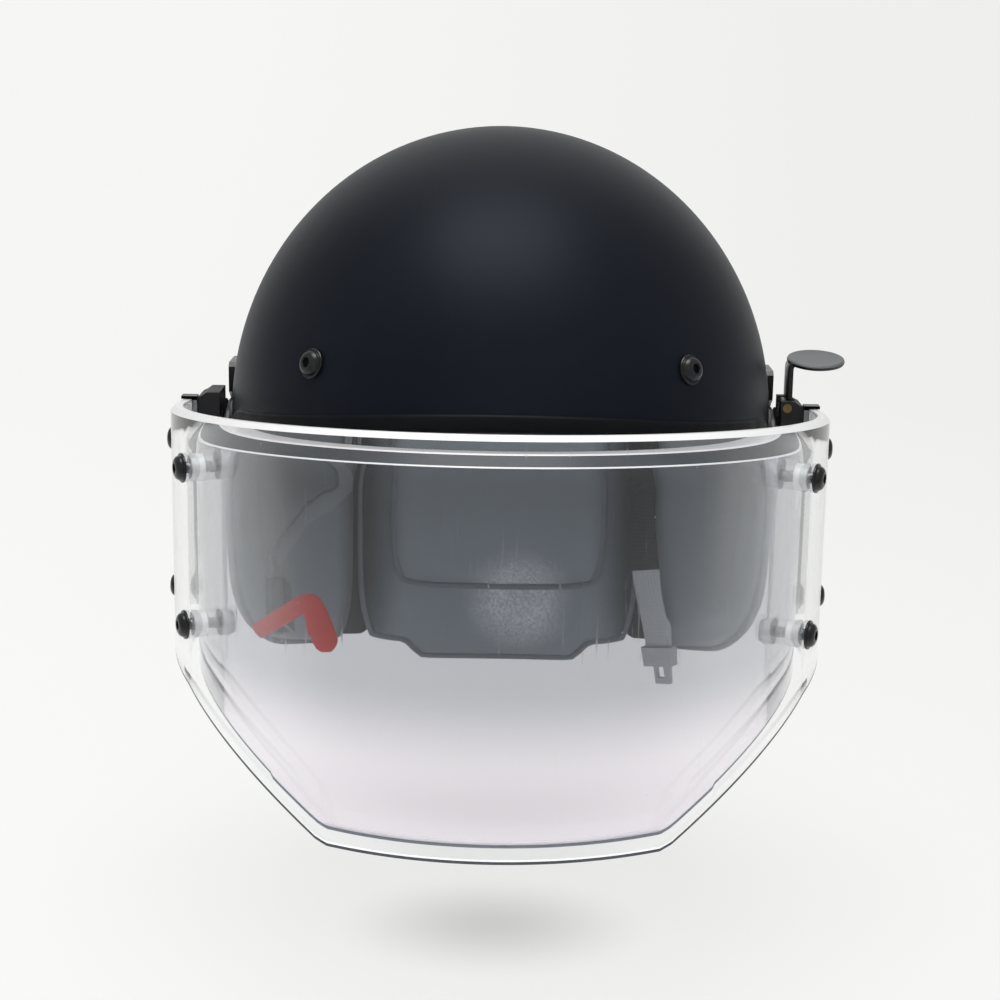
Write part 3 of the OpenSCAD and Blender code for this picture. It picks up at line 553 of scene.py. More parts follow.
@dataclass(frozen=True)
class ClothFinish:
    """Woven cloth, its threads counted round the helmet and up it, or along a webbing's own map.

    Its patch is worn: the middle's X and Z, then the half width and half height, in millimetres.
    """

    name: str
    colour: Tone
    dark: Tone
    pitch: float
    yarn: Yarn = Yarn.PLAIN
    relief: float = 0.25
    sheen: float = 0.3
    round_radius: float = 0.12
    seam_turn: float = 0.0
    seam_reach: float = 12.0
    # Painted shade: the colour that the cloth darkens to beside a seam.
    painted_seam_shade: Colour = (0.012, 0.015, 0.018, 1.0)
    patch: tuple[float, float, float, float] | None = None
    worn: Colour = (0.84, 0.85, 0.88, 1.0)

    def threads(self, g: Graph, coords: Sockets) -> dict[str, NodeSocket]:
        """Where a point lies across and along the threads.

        Ribbed webbing reads its map. Padding takes the turn round the vertical, as the arc
        tangent of X over minus Y, times a radius, and the height.

        Args:
            g: The material's graph.
            coords: The coordinates of a point of the piece, by name.

        Returns:
            Both lengths in metres, by the names that the weave takes.
        """
        if self.yarn is Yarn.RIBBED:
            x, y, _ = g.split(coords["UV"])
            return {"Across": x, "Along": y}
        x, y, z = g.split(coords["Object"])
        turn = g.math("ARCTAN2", x, g.math("MULTIPLY", y, -1.0))
        return {"Across": g.math("MULTIPLY", turn, self.round_radius), "Along": z}

    def seam_shade(self, g: Graph, across: NodeSocket) -> NodeSocket:
        """Share of the cloth's colour kept beside a seam, the rest being painted shade.

        It rises smoothly with the turn's distance from the seam's turn, on both sides.

        Args:
            g: The material's graph.
            across: Length across the threads.

        Returns:
            The share, from 0 to 1.
        """
        turn = g.math("ABSOLUTE", g.math("DIVIDE", across, self.round_radius * math.radians(1)))
        away = g.math("ABSOLUTE", g.math("SUBTRACT", turn, self.seam_turn))
        return g.smooth(away, 0.0, 1.0, 1.0, self.seam_reach)

    def patch_share(self, g: Graph, coords: Sockets, grain: Sockets) -> NodeSocket:
        """Share of worn colour on the worn patch of the side that faces the front.

        It falls smoothly to none at the edge of the patch's oval, and the grain breaks it up.

        Args:
            g: The material's graph.
            coords: The coordinates of a point of the piece, by name.
            grain: What the grain gives.

        Returns:
            The share, from 0 to 1.
        """
        x, _, z = g.split(coords["Object"])
        middle_x, middle_z, half_x, half_z = self.patch
        away = g.off_middle((x, middle_x, half_x), (z, middle_z, half_z))
        share = g.smooth(away, 1.0, 0.0, 0.3, 1.0)
        facing = g.math("LESS_THAN", g.split(coords["Normal"])[1], 0.0)
        share = g.math("MULTIPLY", share, g.spread(grain["Height"], 0.35, 1.0, 0.36, 0.66))
        share = g.math("MULTIPLY", share, g.spread(grain["Mottle"], 0.4, 1.2))
        return g.math("MULTIPLY", share, facing)

    def material(self, effects: Effects) -> Material:
        """Makes the material.

        Args:
            effects: The effects that the finishes share.

        Returns:
            The material.
        """
        mat, g, shader = new_material(self.name)
        coords = g.coords()
        threads = self.threads(g, coords)
        rib = 1.0 if self.yarn is Yarn.RIBBED else 0.0
        weave = effects.weave.place(g, threads | {"Pitch": self.pitch * MM, "Rib": rib})
        grain = effects.grain.place(g, {"Place": coords["Object"], "Scale": 26.0, "Fine": 700.0})
        tone = g.math("MULTIPLY", weave["Shade"], g.spread(grain["Mottle"], 0.75, 1.0))
        colour = g.blend(tone, srgb(self.dark), srgb(self.colour))
        if self.patch is not None:
            colour = g.blend(self.patch_share(g, coords, grain), colour, self.worn)
        # Painted shade: darker towards the seam's turn, on both sides of it.
        if self.seam_turn:
            colour = g.blend(self.seam_shade(g, threads["Across"]), self.painted_seam_shade, colour)
        g.feed(shader, {
            "Base Color": colour,
            "Roughness": g.spread(grain["Mottle"], 0.78, 0.95),
            "Normal": g.bump(weave["Height"], 0.6, self.relief),
            "Sheen Weight": self.sheen,
            "Sheen Roughness": 0.45,
            "Specular IOR Level": 0.25,
        })
        return mat


@dataclass(frozen=True)
class ClearFinish:
    """Clear sheet. Rays from lamps pass it unbent, with this share of their light.

    Its tint goes from painted_shade_tint, a darker tint that paints shade over the upper part, at the
    height fade_top and over it, to colour at fade_low.
    """

    name: str
    colour: Tone
    rough: float
    passes: float
    painted_shade_tint: Tone | None = None
    fade_low: float = -125.0
    fade_top: float = -85.0
    ior: float = 1.49
    gloss: float = 0.18
    specks: float = 0.5
    transmission: float = 1.0

    def material(self, effects: Effects) -> Material:
        """Makes the material: dust specks and hairlines roughen it here and there.

        Args:
            effects: The effects that the finishes share.

        Returns:
            The material.
        """
        mat, g, shader = new_material(self.name)
        place = g.coords()["Object"]
        tint = srgb(self.colour)
        # Painted shade: the tint darkens what is seen through the layer over its upper part.
        if self.painted_shade_tint is not None:
            share = g.smooth(g.split(place)[2], 0.0, 1.0, self.fade_low * MM, self.fade_top * MM)
            tint = g.blend(share, tint, srgb(self.painted_shade_tint))
        dust = effects.dust.place(g, {"Place": place})
        worn = g.math("MAXIMUM", dust["Specks"], g.math("MULTIPLY", dust["Lines"], 0.3))
        g.feed(shader, {
            "Base Color": tint,
            "Roughness": g.spread(worn, self.rough, self.rough + self.specks),
            "Transmission Weight": self.transmission,
            "IOR": self.ior,
            "Specular IOR Level": self.gloss,
        })
        lamp = g.add("ShaderNodeBsdfTransparent", {0: (self.passes, self.passes, self.passes, 1.0)})
        g.surface(g.add("ShaderNodeLightPath").outputs["Is Shadow Ray"], shader, lamp)
        return mat


def new_material(name: str) -> tuple[Material, Graph, Node]:
    """A material with nodes, its graph and its Principled shader.

    Args:
        name: Name of the material.

    Returns:
        The three of them.
    """
    mat = bpy.data.materials.new(name)
    mat.use_nodes = True
    shader = next(n for n in mat.node_tree.nodes if n.type == "BSDF_PRINCIPLED")
    return mat, Graph(mat.node_tree), shader


class Finishes:
    """Every material of the helmet, made once and asked for by name."""

    def __init__(self) -> None:
        """Makes the effects and lists the finishes."""
        self.effects = Effects()
        self.made: dict[str, Material] = {}
        self.known = {f.name: f for f in self.all_finishes()}

    def all_finishes(self) -> list[SolidFinish | ClothFinish | ClearFinish]:
        """The finishes of the real pieces, colours as they look in plain light; some of them paint light
        or shade, as their comments say.

        Returns:
            The finishes, each with a name of its own.
        """
        steel = SolidFinish("satin_steel", (186, 188, 192), (160, 162, 166), 0.24, 0.38, metallic=1.0,
                            mottle=120, grain=2600, relief=0.01)
        return [
            steel,
            replace(steel, name="carrier_steel", black_above=(0.105, 3.7)),
            SolidFinish("matte_black_paint", (13, 16, 23), (18, 21, 29), 0.42, 0.48,
                        specular=0.14, gleam=(0.76, 0.85, 1.0, 1.0), mottle=14, grain=1500, relief=0.03),
            SolidFinish("trim_rubber", (11, 12, 14), (18, 19, 21), 0.38, 0.55,
                        specular=0.1, mottle=90, grain=1800, relief=0.05),
            # Painted highlight: the light gray band on the trim's lip.
            SolidFinish("trim_lip_painted_highlight", (128, 130, 135), (104, 106, 110), 0.30, 0.40,
                        mottle=90, grain=1800, relief=0.03),
            SolidFinish("black_oxide_steel", (9, 10, 11), (24, 25, 27), 0.24, 0.38,
                        specular=0.45, coat=0.1, mottle=160, grain=2200, relief=0.02),
            SolidFinish("moulded_black", (20, 20, 22), (32, 32, 34), 0.45, 0.62,
                        mottle=80, grain=1400, relief=0.06),
            SolidFinish("slate_moulding", (104, 112, 118), (90, 97, 103), 0.45, 0.60,
                        mottle=80, grain=1400, relief=0.06),
            SolidFinish("pale_moulding", (206, 208, 211), (186, 188, 191), 0.40, 0.55,
                        mottle=60, grain=1400, relief=0.05),
            SolidFinish("lever_coating", (84, 88, 89), (98, 102, 103), 0.36, 0.50,
                        specular=0.5, coat=0.1, mottle=70, grain=1700, relief=0.03),
            SolidFinish("pin_brass", (176, 158, 106), (140, 120, 72), 0.28, 0.42,
                        metallic=1.0, mottle=140, grain=2400, relief=0.01),
            SolidFinish("red_moulding", (244, 48, 30), (228, 36, 24), 0.38, 0.52,
                        mottle=50, grain=1300, relief=0.05),
            ClothFinish("liner_knit", (62, 66, 69), (40, 43, 46), 1.6),
            ClothFinish("guard_cloth", (156, 166, 174), (132, 141, 148), 1.4, relief=0.05,
                        seam_turn=145.0),
            ClothFinish("nape_cloth", (150, 160, 168), (126, 135, 142), 1.4, relief=0.05,
                        seam_turn=145.0, patch=(12.0, -129.0, 36.0, 36.0)),
            ClothFinish("piping_cloth", (126, 134, 141), (104, 111, 117), 1.2),
            ClothFinish("seam_cloth", (40, 44, 48), (26, 29, 32), 1.2),
            # Painted light: the pale lower part of the left chin webbing.
            ClothFinish("webbing_painted_light", (214, 217, 220), (180, 184, 188), 2.0, yarn=Yarn.RIBBED,
                        relief=0.3),
            ClothFinish("webbing_gray", (136, 145, 152), (110, 118, 125), 2.0, yarn=Yarn.RIBBED,
                        relief=0.2),
            # Painted shade: the dark part of the chin webbings under the shell.
            ClothFinish("webbing_painted_shade", (34, 38, 42), (22, 25, 28), 2.0, yarn=Yarn.RIBBED,
                        relief=0.2, sheen=0.1),
            ClearFinish("sheet_face", (250, 251, 251), 0.0, 0.90),
            # The cut finishes are nearly white: frosted cut faces, and painted highlights along the
            # bevel's borders.
            ClearFinish("sheet_cut_and_painted_highlight", (253, 253, 253), 0.35, 0.85, gloss=0.5, specks=0.3,
                        transmission=0.12),
            # Painted shade: the inner panel is tinted gray over its upper part.
            ClearFinish("panel_face", (249, 243, 250), 0.02, 0.88, painted_shade_tint=(198, 199, 205)),
            ClearFinish("panel_cut_and_painted_highlight", (251, 250, 252), 0.28, 0.85, gloss=0.5, specks=0.3,
                        transmission=0.2),
            # Painted shade: the dark tinted bevel and lines where the clear layers' edges look dark.
            ClearFinish("panel_bevel", (62, 66, 72), 0.30, 0.85, specks=0.2, transmission=0.2),
            ClearFinish("sheet_painted_dark_line", (46, 50, 56), 0.30, 0.85, specks=0.2, transmission=0.3),
            ClearFinish("panel_painted_dark_line", (104, 110, 122), 0.30, 0.85, specks=0.2, transmission=0.25),
            ClearFinish("clear_plastic", (246, 248, 250), 0.12, 0.80, transmission=0.55),
        ]

    def get(self, name: str) -> Material:
        """The material of this name, made when first asked for.

        Args:
            name: Name of the finish.

        Returns:
            The material.
        """
        if name not in self.made:
            self.made[name] = self.known[name].material(self.effects)
        return self.made[name]

    def dress(self, piece: Object, *names: str) -> None:
        """Gives a piece its materials, in the order of its faces' marks."""
        for name in names:
            piece.data.materials.append(self.get(name))

    def dress_node(self, node: str, name: str) -> None:
        """Gives a solid of the frame its material, and leaves its mesh as it is.

        Args:
            node: Name of the solid.
            name: Name of the finish.
        """
        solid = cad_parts[node]
        for place in solid.material_slots:
            place.material = self.get(name)


def hand_in(piece: Object, body: Body, slot: str, *nodes: str) -> Object:
    """Puts a piece on its body and hides the nodes that it replaces.

    Args:
        piece: The finished piece.
        body: What it rides on.
        slot: The record's material slot; not used.
        nodes: Nodes of the frame that it replaces.

    Returns:
        The piece.
    """
    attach(piece, body.value)
    if nodes:
        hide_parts(*nodes)
    LOG.info("%s: %d faces, on %s", piece.name, len(piece.data.polygons), body.value)
    return piece


# The shell and what is fixed to it


@dataclass
class Shell:
    """Hard shell: an upper half ellipsoid that goes on straight down under the seat, to a rim."""

    half_w: float = 126.0
    half_l: float = 140.0
    crown: float = 133.0
    wall: float = 8.0
    brim_z: float = 18.0
    brim_fall: float = 18.0
    ear_drop: float = 12.0
    nape_drop: float = 18.0
    skin: float = 0.02
    edge_round: float = 0.6
    edge_drop: float = 0.3
    trim_out: float = 2.0
    screw_turns: tuple[float, ...] = (41.0, -41.0, 144.0, -144.0)
    screw_heights: tuple[float, ...] = (37.5, 37.5, 30.0, 30.0)

    def rim(self, turn: np.ndarray) -> np.ndarray:
        """Height of the rim: it falls with the sine squared to the ears, and steps down twice.

        Args:
            turn: Turns in degrees.

        Returns:
            The height at each turn.
        """
        t = np.abs((np.asarray(turn, float) + 180) % 360 - 180)
        fall = self.brim_fall * np.sin(np.radians(np.minimum(t, 90))) ** 2
        return self.brim_z - fall - self.ear_drop * ease(t, 66, 84) - self.nape_drop * ease(t, 120, 165)

    def lift(self, z: np.ndarray) -> np.ndarray:
        """Lift of a height: its arc sine over the crown, or the plain share under the seat."""
        share = np.asarray(z, float) / self.crown
        return np.where(share <= 0, share, np.arcsin(np.clip(share, 0, 1)))

    def at(self, turn: np.ndarray, lift: np.ndarray, out: np.ndarray | float) -> np.ndarray:
        """Points on the outer face, moved along the ellipsoid's normal.

        Args:
            turn: Turn in degrees.
            lift: Lift in radians.
            out: How far outwards.

        Returns:
            The points, three numbers last.
        """
        turn, lift, out = np.broadcast_arrays(np.radians(turn), lift, out)
        reach = np.where(lift <= 0, 1.0, np.cos(lift))
        z = np.where(lift <= 0, lift, np.sin(lift)) * self.crown
        x, y = self.half_w * reach * np.sin(turn), -self.half_l * reach * np.cos(turn)
        p = np.stack([x, y, z], axis=-1)
        n = np.stack([p[..., 0] / self.half_w**2, p[..., 1] / self.half_l**2,
                      np.maximum(z, 0) / self.crown**2], axis=-1)
        return p + unit(n) * out[..., None]

    def normal(self, turn: float, z: float) -> np.ndarray:
        """Outward direction at a turn and height."""
        lift = self.lift(z)
        return unit(self.at(turn, lift, 1.0) - self.at(turn, lift, 0.0))

    def build_dome(self, finishes: Finishes) -> None:
        """Inner face from the crown to the rim, round it, and outer face up, with closed poles.

        Args:
            finishes: The helmet's materials.
        """
        turns, rows = np.arange(0, 360, 2.0), 46
        cols = len(turns)
        low = self.lift(self.rim(turns))[None, :]
        share = np.linspace(0, 1, rows, endpoint=False)[:, None]
        lifts = low + (math.pi / 2 - low) * share
        outer = self.at(turns[None, :], lifts, -self.skin)
        inner = self.at(turns[None, :], lifts, -self.wall + self.skin)[::-1]
        edge = self.at(turns[None, :], low, np.array([[self.edge_round - self.wall], [-self.edge_round]]))
        edge[..., 2] -= self.edge_drop
        rings = np.vstack([inner, edge, outer]).reshape(-1, 3)
        points = np.vstack([rings, [0, 0, self.crown - self.wall], [0, 0, self.crown]])
        ring = np.arange(cols)
        faces = quads(2 * rows + 2, cols, close_cols=True)
        faces += fan(ring, len(rings)) + fan(len(rings) - cols + ring, len(rings) + 1)
        piece = make_piece("shell_dome", points, faces, crease=60)
        finishes.dress(piece, "matte_black_paint")
        hand_in(piece, Body.HELMET, "shell_paint", "shell")

    def build_trim(self, finishes: Finishes) -> None:
        """Rubber U section with round lips, carried round the rim; a narrow band along each lip's top is
        light gray, a painted highlight.

        Args:
            finishes: The helmet's materials.
        """
        turns = np.arange(0, 360, 2.0)
        low = self.lift(self.rim(turns))[:, None]
        lip = np.array([[5.9, 0.1], [6.0, 0.7], [5.7, 1.25], [5.1, 1.7], [4.2, 1.95], [0.4, 2.0],
                        [-0.7, 1.7], [-1.5, 1.0], [-1.95, 0.0]])
        back = np.stack([lip[::-1, 0], -self.wall - lip[::-1, 1]], axis=1)
        fold = np.array([[0.0, -self.wall], [0.0, 0.0]])
        section = np.vstack([lip, back, fold])
        points = self.at(turns[:, None], low + section[None, :, 0] / self.crown, section[None, :, 1])
        faces = quads(*points.shape[:2], close_rows=True, close_cols=True)
        # Painted highlight: the first stretch of each section, on the lip's top, is light gray.
        marks = np.arange(len(faces)) % len(section) == 0
        piece = make_piece("rim_trim", points, faces, marks=marks)
        finishes.dress(piece, "trim_rubber", "trim_lip_painted_highlight")
        hand_in(piece, Body.HELMET, "trim_rubber", "edge_trim")


@dataclass
class SocketScrew:
    """Dome-head screw with a flange and a hex socket, turned about its axis."""

    head_d: float = 13.0
    head_h: float = 4.0
    shank_d: float = 5.0
    socket: float = 4.0
    floor: float = 1.6
    steps: int = 48

    def points(self, shank: float) -> tuple[np.ndarray, list[list[int]]]:
        """Rings from the shank's end over the flange and the dome down into the socket.

        A ring's radius is the same all round, but for the two of the socket, whose radius is the
        hexagon's: half its width over the cosine of the angle from the middle of the nearest flat.

        Args:
            shank: Length of the shank under the seat.

        Returns:
            Points with the seat at 0 and the head along +Z, and the faces.
        """
        r, h = self.head_d / 2, self.head_h
        rings = np.array([
            [self.shank_d / 2 - 0.4, -shank], [self.shank_d / 2, -shank + 0.4], [self.shank_d / 2, 0.0],
            [r - 0.25, 0.0], [r, 0.25], [r, 0.85], [r - 0.25, 1.15], [r - 0.9, 1.2], [r - 1.0, 1.35],
            [r - 1.1, 0.45 * h], [r - 1.45, 0.66 * h], [r - 2.1, 0.83 * h], [r - 3.0, 0.95 * h],
            [r - 3.7, h], [self.socket / 2 + 0.55, h - 0.02]])
        turn = np.linspace(0, 2 * math.pi, self.steps, endpoint=False)
        sixth = math.pi / 3
        hexagon = self.socket / 2 / np.cos((turn % sixth) - sixth / 2)
        round_ones = np.repeat(rings[:, :1], self.steps, axis=1)
        radii = np.vstack([round_ones, hexagon + 0.12, hexagon, hexagon])
        heights = np.concatenate([rings[:, 1], [h - 0.05, h - 0.2, self.floor]])
        ring = np.stack([radii * np.cos(turn), radii * np.sin(turn),
                         np.repeat(heights[:, None], self.steps, axis=1)], axis=-1)
        ends = np.array([[0, 0, -shank], [0, 0, self.floor]])
        first, count = np.arange(self.steps), ring.size // 3
        faces = quads(len(heights), self.steps, close_cols=True)
        faces += fan(first, count) + fan(count - self.steps + first, count + 1)
        return np.vstack([ring.reshape(-1, 3), ends]), faces

    def set_in(self, name: str, places: list[tuple[np.ndarray, np.ndarray]], shank: float) -> Object:
        """Makes one piece of a screw at each place.

        Args:
            name: Name of the piece.
            places: Seat and outward direction of each screw.
            shank: Length of the shanks.

        Returns:
            The piece.
        """
        local, faces = self.points(shank)
        all_points, all_faces = [], []
        on_shank = np.arange(len(faces)) < 2 * self.steps
        on_shank[-2 * self.steps:-self.steps] = True
        for n, (seat, axis) in enumerate(places):
            axis = unit(np.asarray(axis, float))
            flat = unit(np.cross([0.0, 0.0, 1.0], axis))
            turned = np.stack([flat, np.cross(axis, flat), axis], axis=1)
            all_points.append(local @ turned.T + seat)
            all_faces += [[c + n * len(local) for c in f] for f in faces]
        marks = np.tile(on_shank, len(places))
        return make_piece(name, np.vstack(all_points), all_faces, marks=marks, crease=32)


@dataclass
class Fasteners:
    """Screws of the shell and of the visor, on the places that the part's source gives them."""

    shell: Shell
    visor_r: float = 151.0
    visor_y: float = 21.0
    panel_turn: float = 65.6
    screw_z: float = 12.0
    pitch: float = 71.0
    arm_y: float = 18.0

    def rows(self) -> list[tuple[int, float]]:
        """Side and height of each pair's screws."""
        return [(side.value, -self.screw_z - k * self.pitch) for side in Side for k in (0, 1)]

    def build(self, finishes: Finishes) -> None:
        """Makes the three groups of screws and dresses the nuts and collars.

        A group is its piece's name, its places, its shanks' length, its body and its node.

        Args:
            finishes: The helmet's materials.
        """
        screw = SocketScrew()
        spots = zip(self.shell.screw_turns, self.shell.screw_heights)
        in_shell = [(self.shell.at(turn, self.shell.lift(z), 0.2), self.shell.normal(turn, z))
                    for turn, z in spots]
        a = math.radians(self.panel_turn)
        fronts, rears = [], []
        for side, z in self.rows():
            way = np.array([side * math.sin(a), -math.cos(a), 0.0])
            fronts.append((way * (self.visor_r + 0.25) + [0, -self.visor_y, z], way))
            rears.append((np.array([side * self.visor_r, -self.arm_y, z]), np.array([side, 0.0, 0.0])))
        groups = [("harness_screws", in_shell, 11.0, Body.HELMET, "shell_screws"),
                  ("front_visor_screws", fronts, 24.6, Body.VISOR, "panel_screws"),
                  ("rear_visor_screws", rears, 11.1, Body.VISOR, "arm_screws")]
        for name, places, shank, body, node in groups:
            piece = screw.set_in(name, places, shank)
            finishes.dress(piece, "black_oxide_steel", "satin_steel")
            hand_in(piece, body, "black_steel", node)
        for node in ("panel_collars", "panel_nuts"):
            finishes.dress_node(node, "clear_plastic")
        for node in ("shell_nuts", "arm_nuts"):
            finishes.dress_node(node, "satin_steel")


# The visor


@dataclass
class ClearLayer:
    """A clear layer bent round the face: an arc in plan, with straight ends, cut to an outline.

    Seen from the front the lower edge is the chin's flat, two short bends, two long slants and the
    cheeks. The upper edge falls evenly towards the back. It is dressed in the order of Strip. The band
    just above the lower edge, and the inner layer's bevel, are dark tinted: painted shade.
    """

    name: str
    node: str
    slot: str
    dressed: tuple[str, str, str, str]
    radius: float
    thick: float
    half_turn: float
    straight: float
    top: float
    inset: float
    top_bevel: tuple[float, float]
    highlight_line: float = 0.75
    edge_round: float = 0.9
    under_line: float = 0.8
    visor_y: float = 21.0
    front_y: float = -172.0
    slope: float = 0.105
    lower: tuple[tuple[float, float], ...] = ((0.0, -157.0), (69.5, -157.0), (74.5, -155.0),
                                             (137.0, -111.0), (151.0, -106.0))

    def bottom(self, x: np.ndarray) -> np.ndarray:
        """Height of the lower edge.

        Each stretch of the outline is a line, raised by the inset times the root of 1 plus its
        slope squared. The height is the higher of the flat, the bend, and the lower of the slant
        and the cheek.

        Args:
            x: Places across, from the middle.

        Returns:
            The height at each place.
        """
        x = np.abs(x)
        lines = []
        for (x0, z0), (x1, z1) in zip(self.lower[:-1], self.lower[1:]):
            m = (z1 - z0) / (x1 - x0)
            lines.append(z0 + m * (x - x0) + self.inset * math.hypot(1, m))
        flat, bend, slant, cheek = lines
        return np.maximum(np.maximum(flat, bend), np.minimum(slant, cheek))

    def stations(self) -> np.ndarray:
        """Lengths along the outer face, close together where the lower edge bends.

        Returns:
            The lengths in rising order, 0 in the middle.
        """
        arc = math.radians(self.half_turn) * self.radius
        end = arc + self.straight
        even = np.linspace(-end, end, 141)
        bends = np.array([x for x, _ in self.lower[1:4]])
        bends = self.radius * np.arcsin(np.clip(bends / self.radius, 0, 1))
        near = (bends[:, None] + np.array([-1.5, -0.5, 0.0, 0.5, 1.5])[None, :]).ravel()
        near = near[near < end - 1]
        return np.unique(np.round(np.concatenate([even, near, -near]), 3))

    def plan(self, along: np.ndarray, deep: np.ndarray) -> tuple[np.ndarray, np.ndarray]:
        """Plan of the layer.

        Args:
            along: Length along the outer face from the middle.
            deep: Depth under the outer face.

        Returns:
            X and Y.
        """
        arc = math.radians(self.half_turn) * self.radius
        turn = np.clip(along, -arc, arc) / self.radius
        past = np.maximum(np.abs(along) - arc, 0.0)
        reach = self.radius - deep
        return reach * np.sin(turn), -self.visor_y - reach * np.cos(turn) + past

    def section(self) -> tuple[np.ndarray, np.ndarray, np.ndarray, np.ndarray]:
        """Closed section of the layer.

        Returns:
            Depth, share of the height, millimetres added to it, and the material of each stretch.
        """
        t, r, step = self.thick, self.edge_round, 0.02
        face, cut, bevel, edge = Strip
        down, deep = self.top_bevel
        corner = r * (1 - math.sqrt(0.5))
        shares = np.linspace(0, 1, 12)
        # Painted shade: the first stretch, a band under_line high above the lower edge, and the lower
        # corner are a dark tinted line.
        outer = [(0.0, 0.0, r, edge), (0.0, 0.0, r + self.under_line, face)]
        outer += [(0.0, f, r * (1 - f) - down * f, face) for f in shares[1:-1]]
        # Painted highlights: a strip highlight_line wide at each border of the bevel takes the cut
        # finish; on the outer sheet the bevel itself takes it too.
        across, up = self.highlight_line * np.array([deep, down]) / math.hypot(deep, down)
        top = [(0.0, 1.0, -down, face), (0.05, 1.0, -down - step, cut), (across, 1.0, -down + up, cut),
               (across + step, 1.0, -down + up + step, bevel), (deep - across, 1.0, -up, bevel),
               (deep - across + step, 1.0, -up + step, cut), (deep, 1.0, 0.0, cut),
               (t - r, 1.0, 0.0, cut), (t - corner, 1.0, -corner, cut)]
        inner = [(t, f, r * (1 - f) - r * f, face) for f in shares[::-1]]
        base = [(t - corner, 0.0, corner, cut), (t - r, 0.0, 0.0, cut), (r, 0.0, 0.0, cut),
                (corner, 0.0, corner, cut)]
        table = np.array(outer + top + inner + base)
        mark = table[:, 3].astype(int)
        after = np.roll(mark, -1)
        on_bevel = (mark == bevel) & (after == bevel)
        stretch = np.where(on_bevel, bevel, np.minimum(np.maximum(mark, after), cut))
        stretch[0] = stretch[-2:] = edge
        return table[:, 0], table[:, 1], table[:, 2], stretch

    def build(self, finishes: Finishes) -> None:
        """Carries the section along the stations and closes both ends.

        Args:
            finishes: The helmet's materials.
        """
        along = self.stations()[:, None]
        deep, share, more, stretch = self.section()
        x, y = self.plan(along, deep[None, :])
        low = self.bottom(x)
        high = self.top - self.slope * (y - self.front_y)
        z = low + (high - low) * share[None, :] + more[None, :]
        points = np.stack(np.broadcast_arrays(x, y, z), axis=-1)
        rows, cols = points.shape[:2]
        faces = quads(rows, cols, close_cols=True)
        marks = np.tile(stretch, rows - 1).tolist()
        faces += caps(rows, cols)
        marks += [Strip.CUT, Strip.CUT]
        piece = make_piece(self.name, points, faces, marks=marks, crease=30)
        finishes.dress(piece, *self.dressed)
        hand_in(piece, Body.VISOR, self.slot, self.node)


# Soft parts


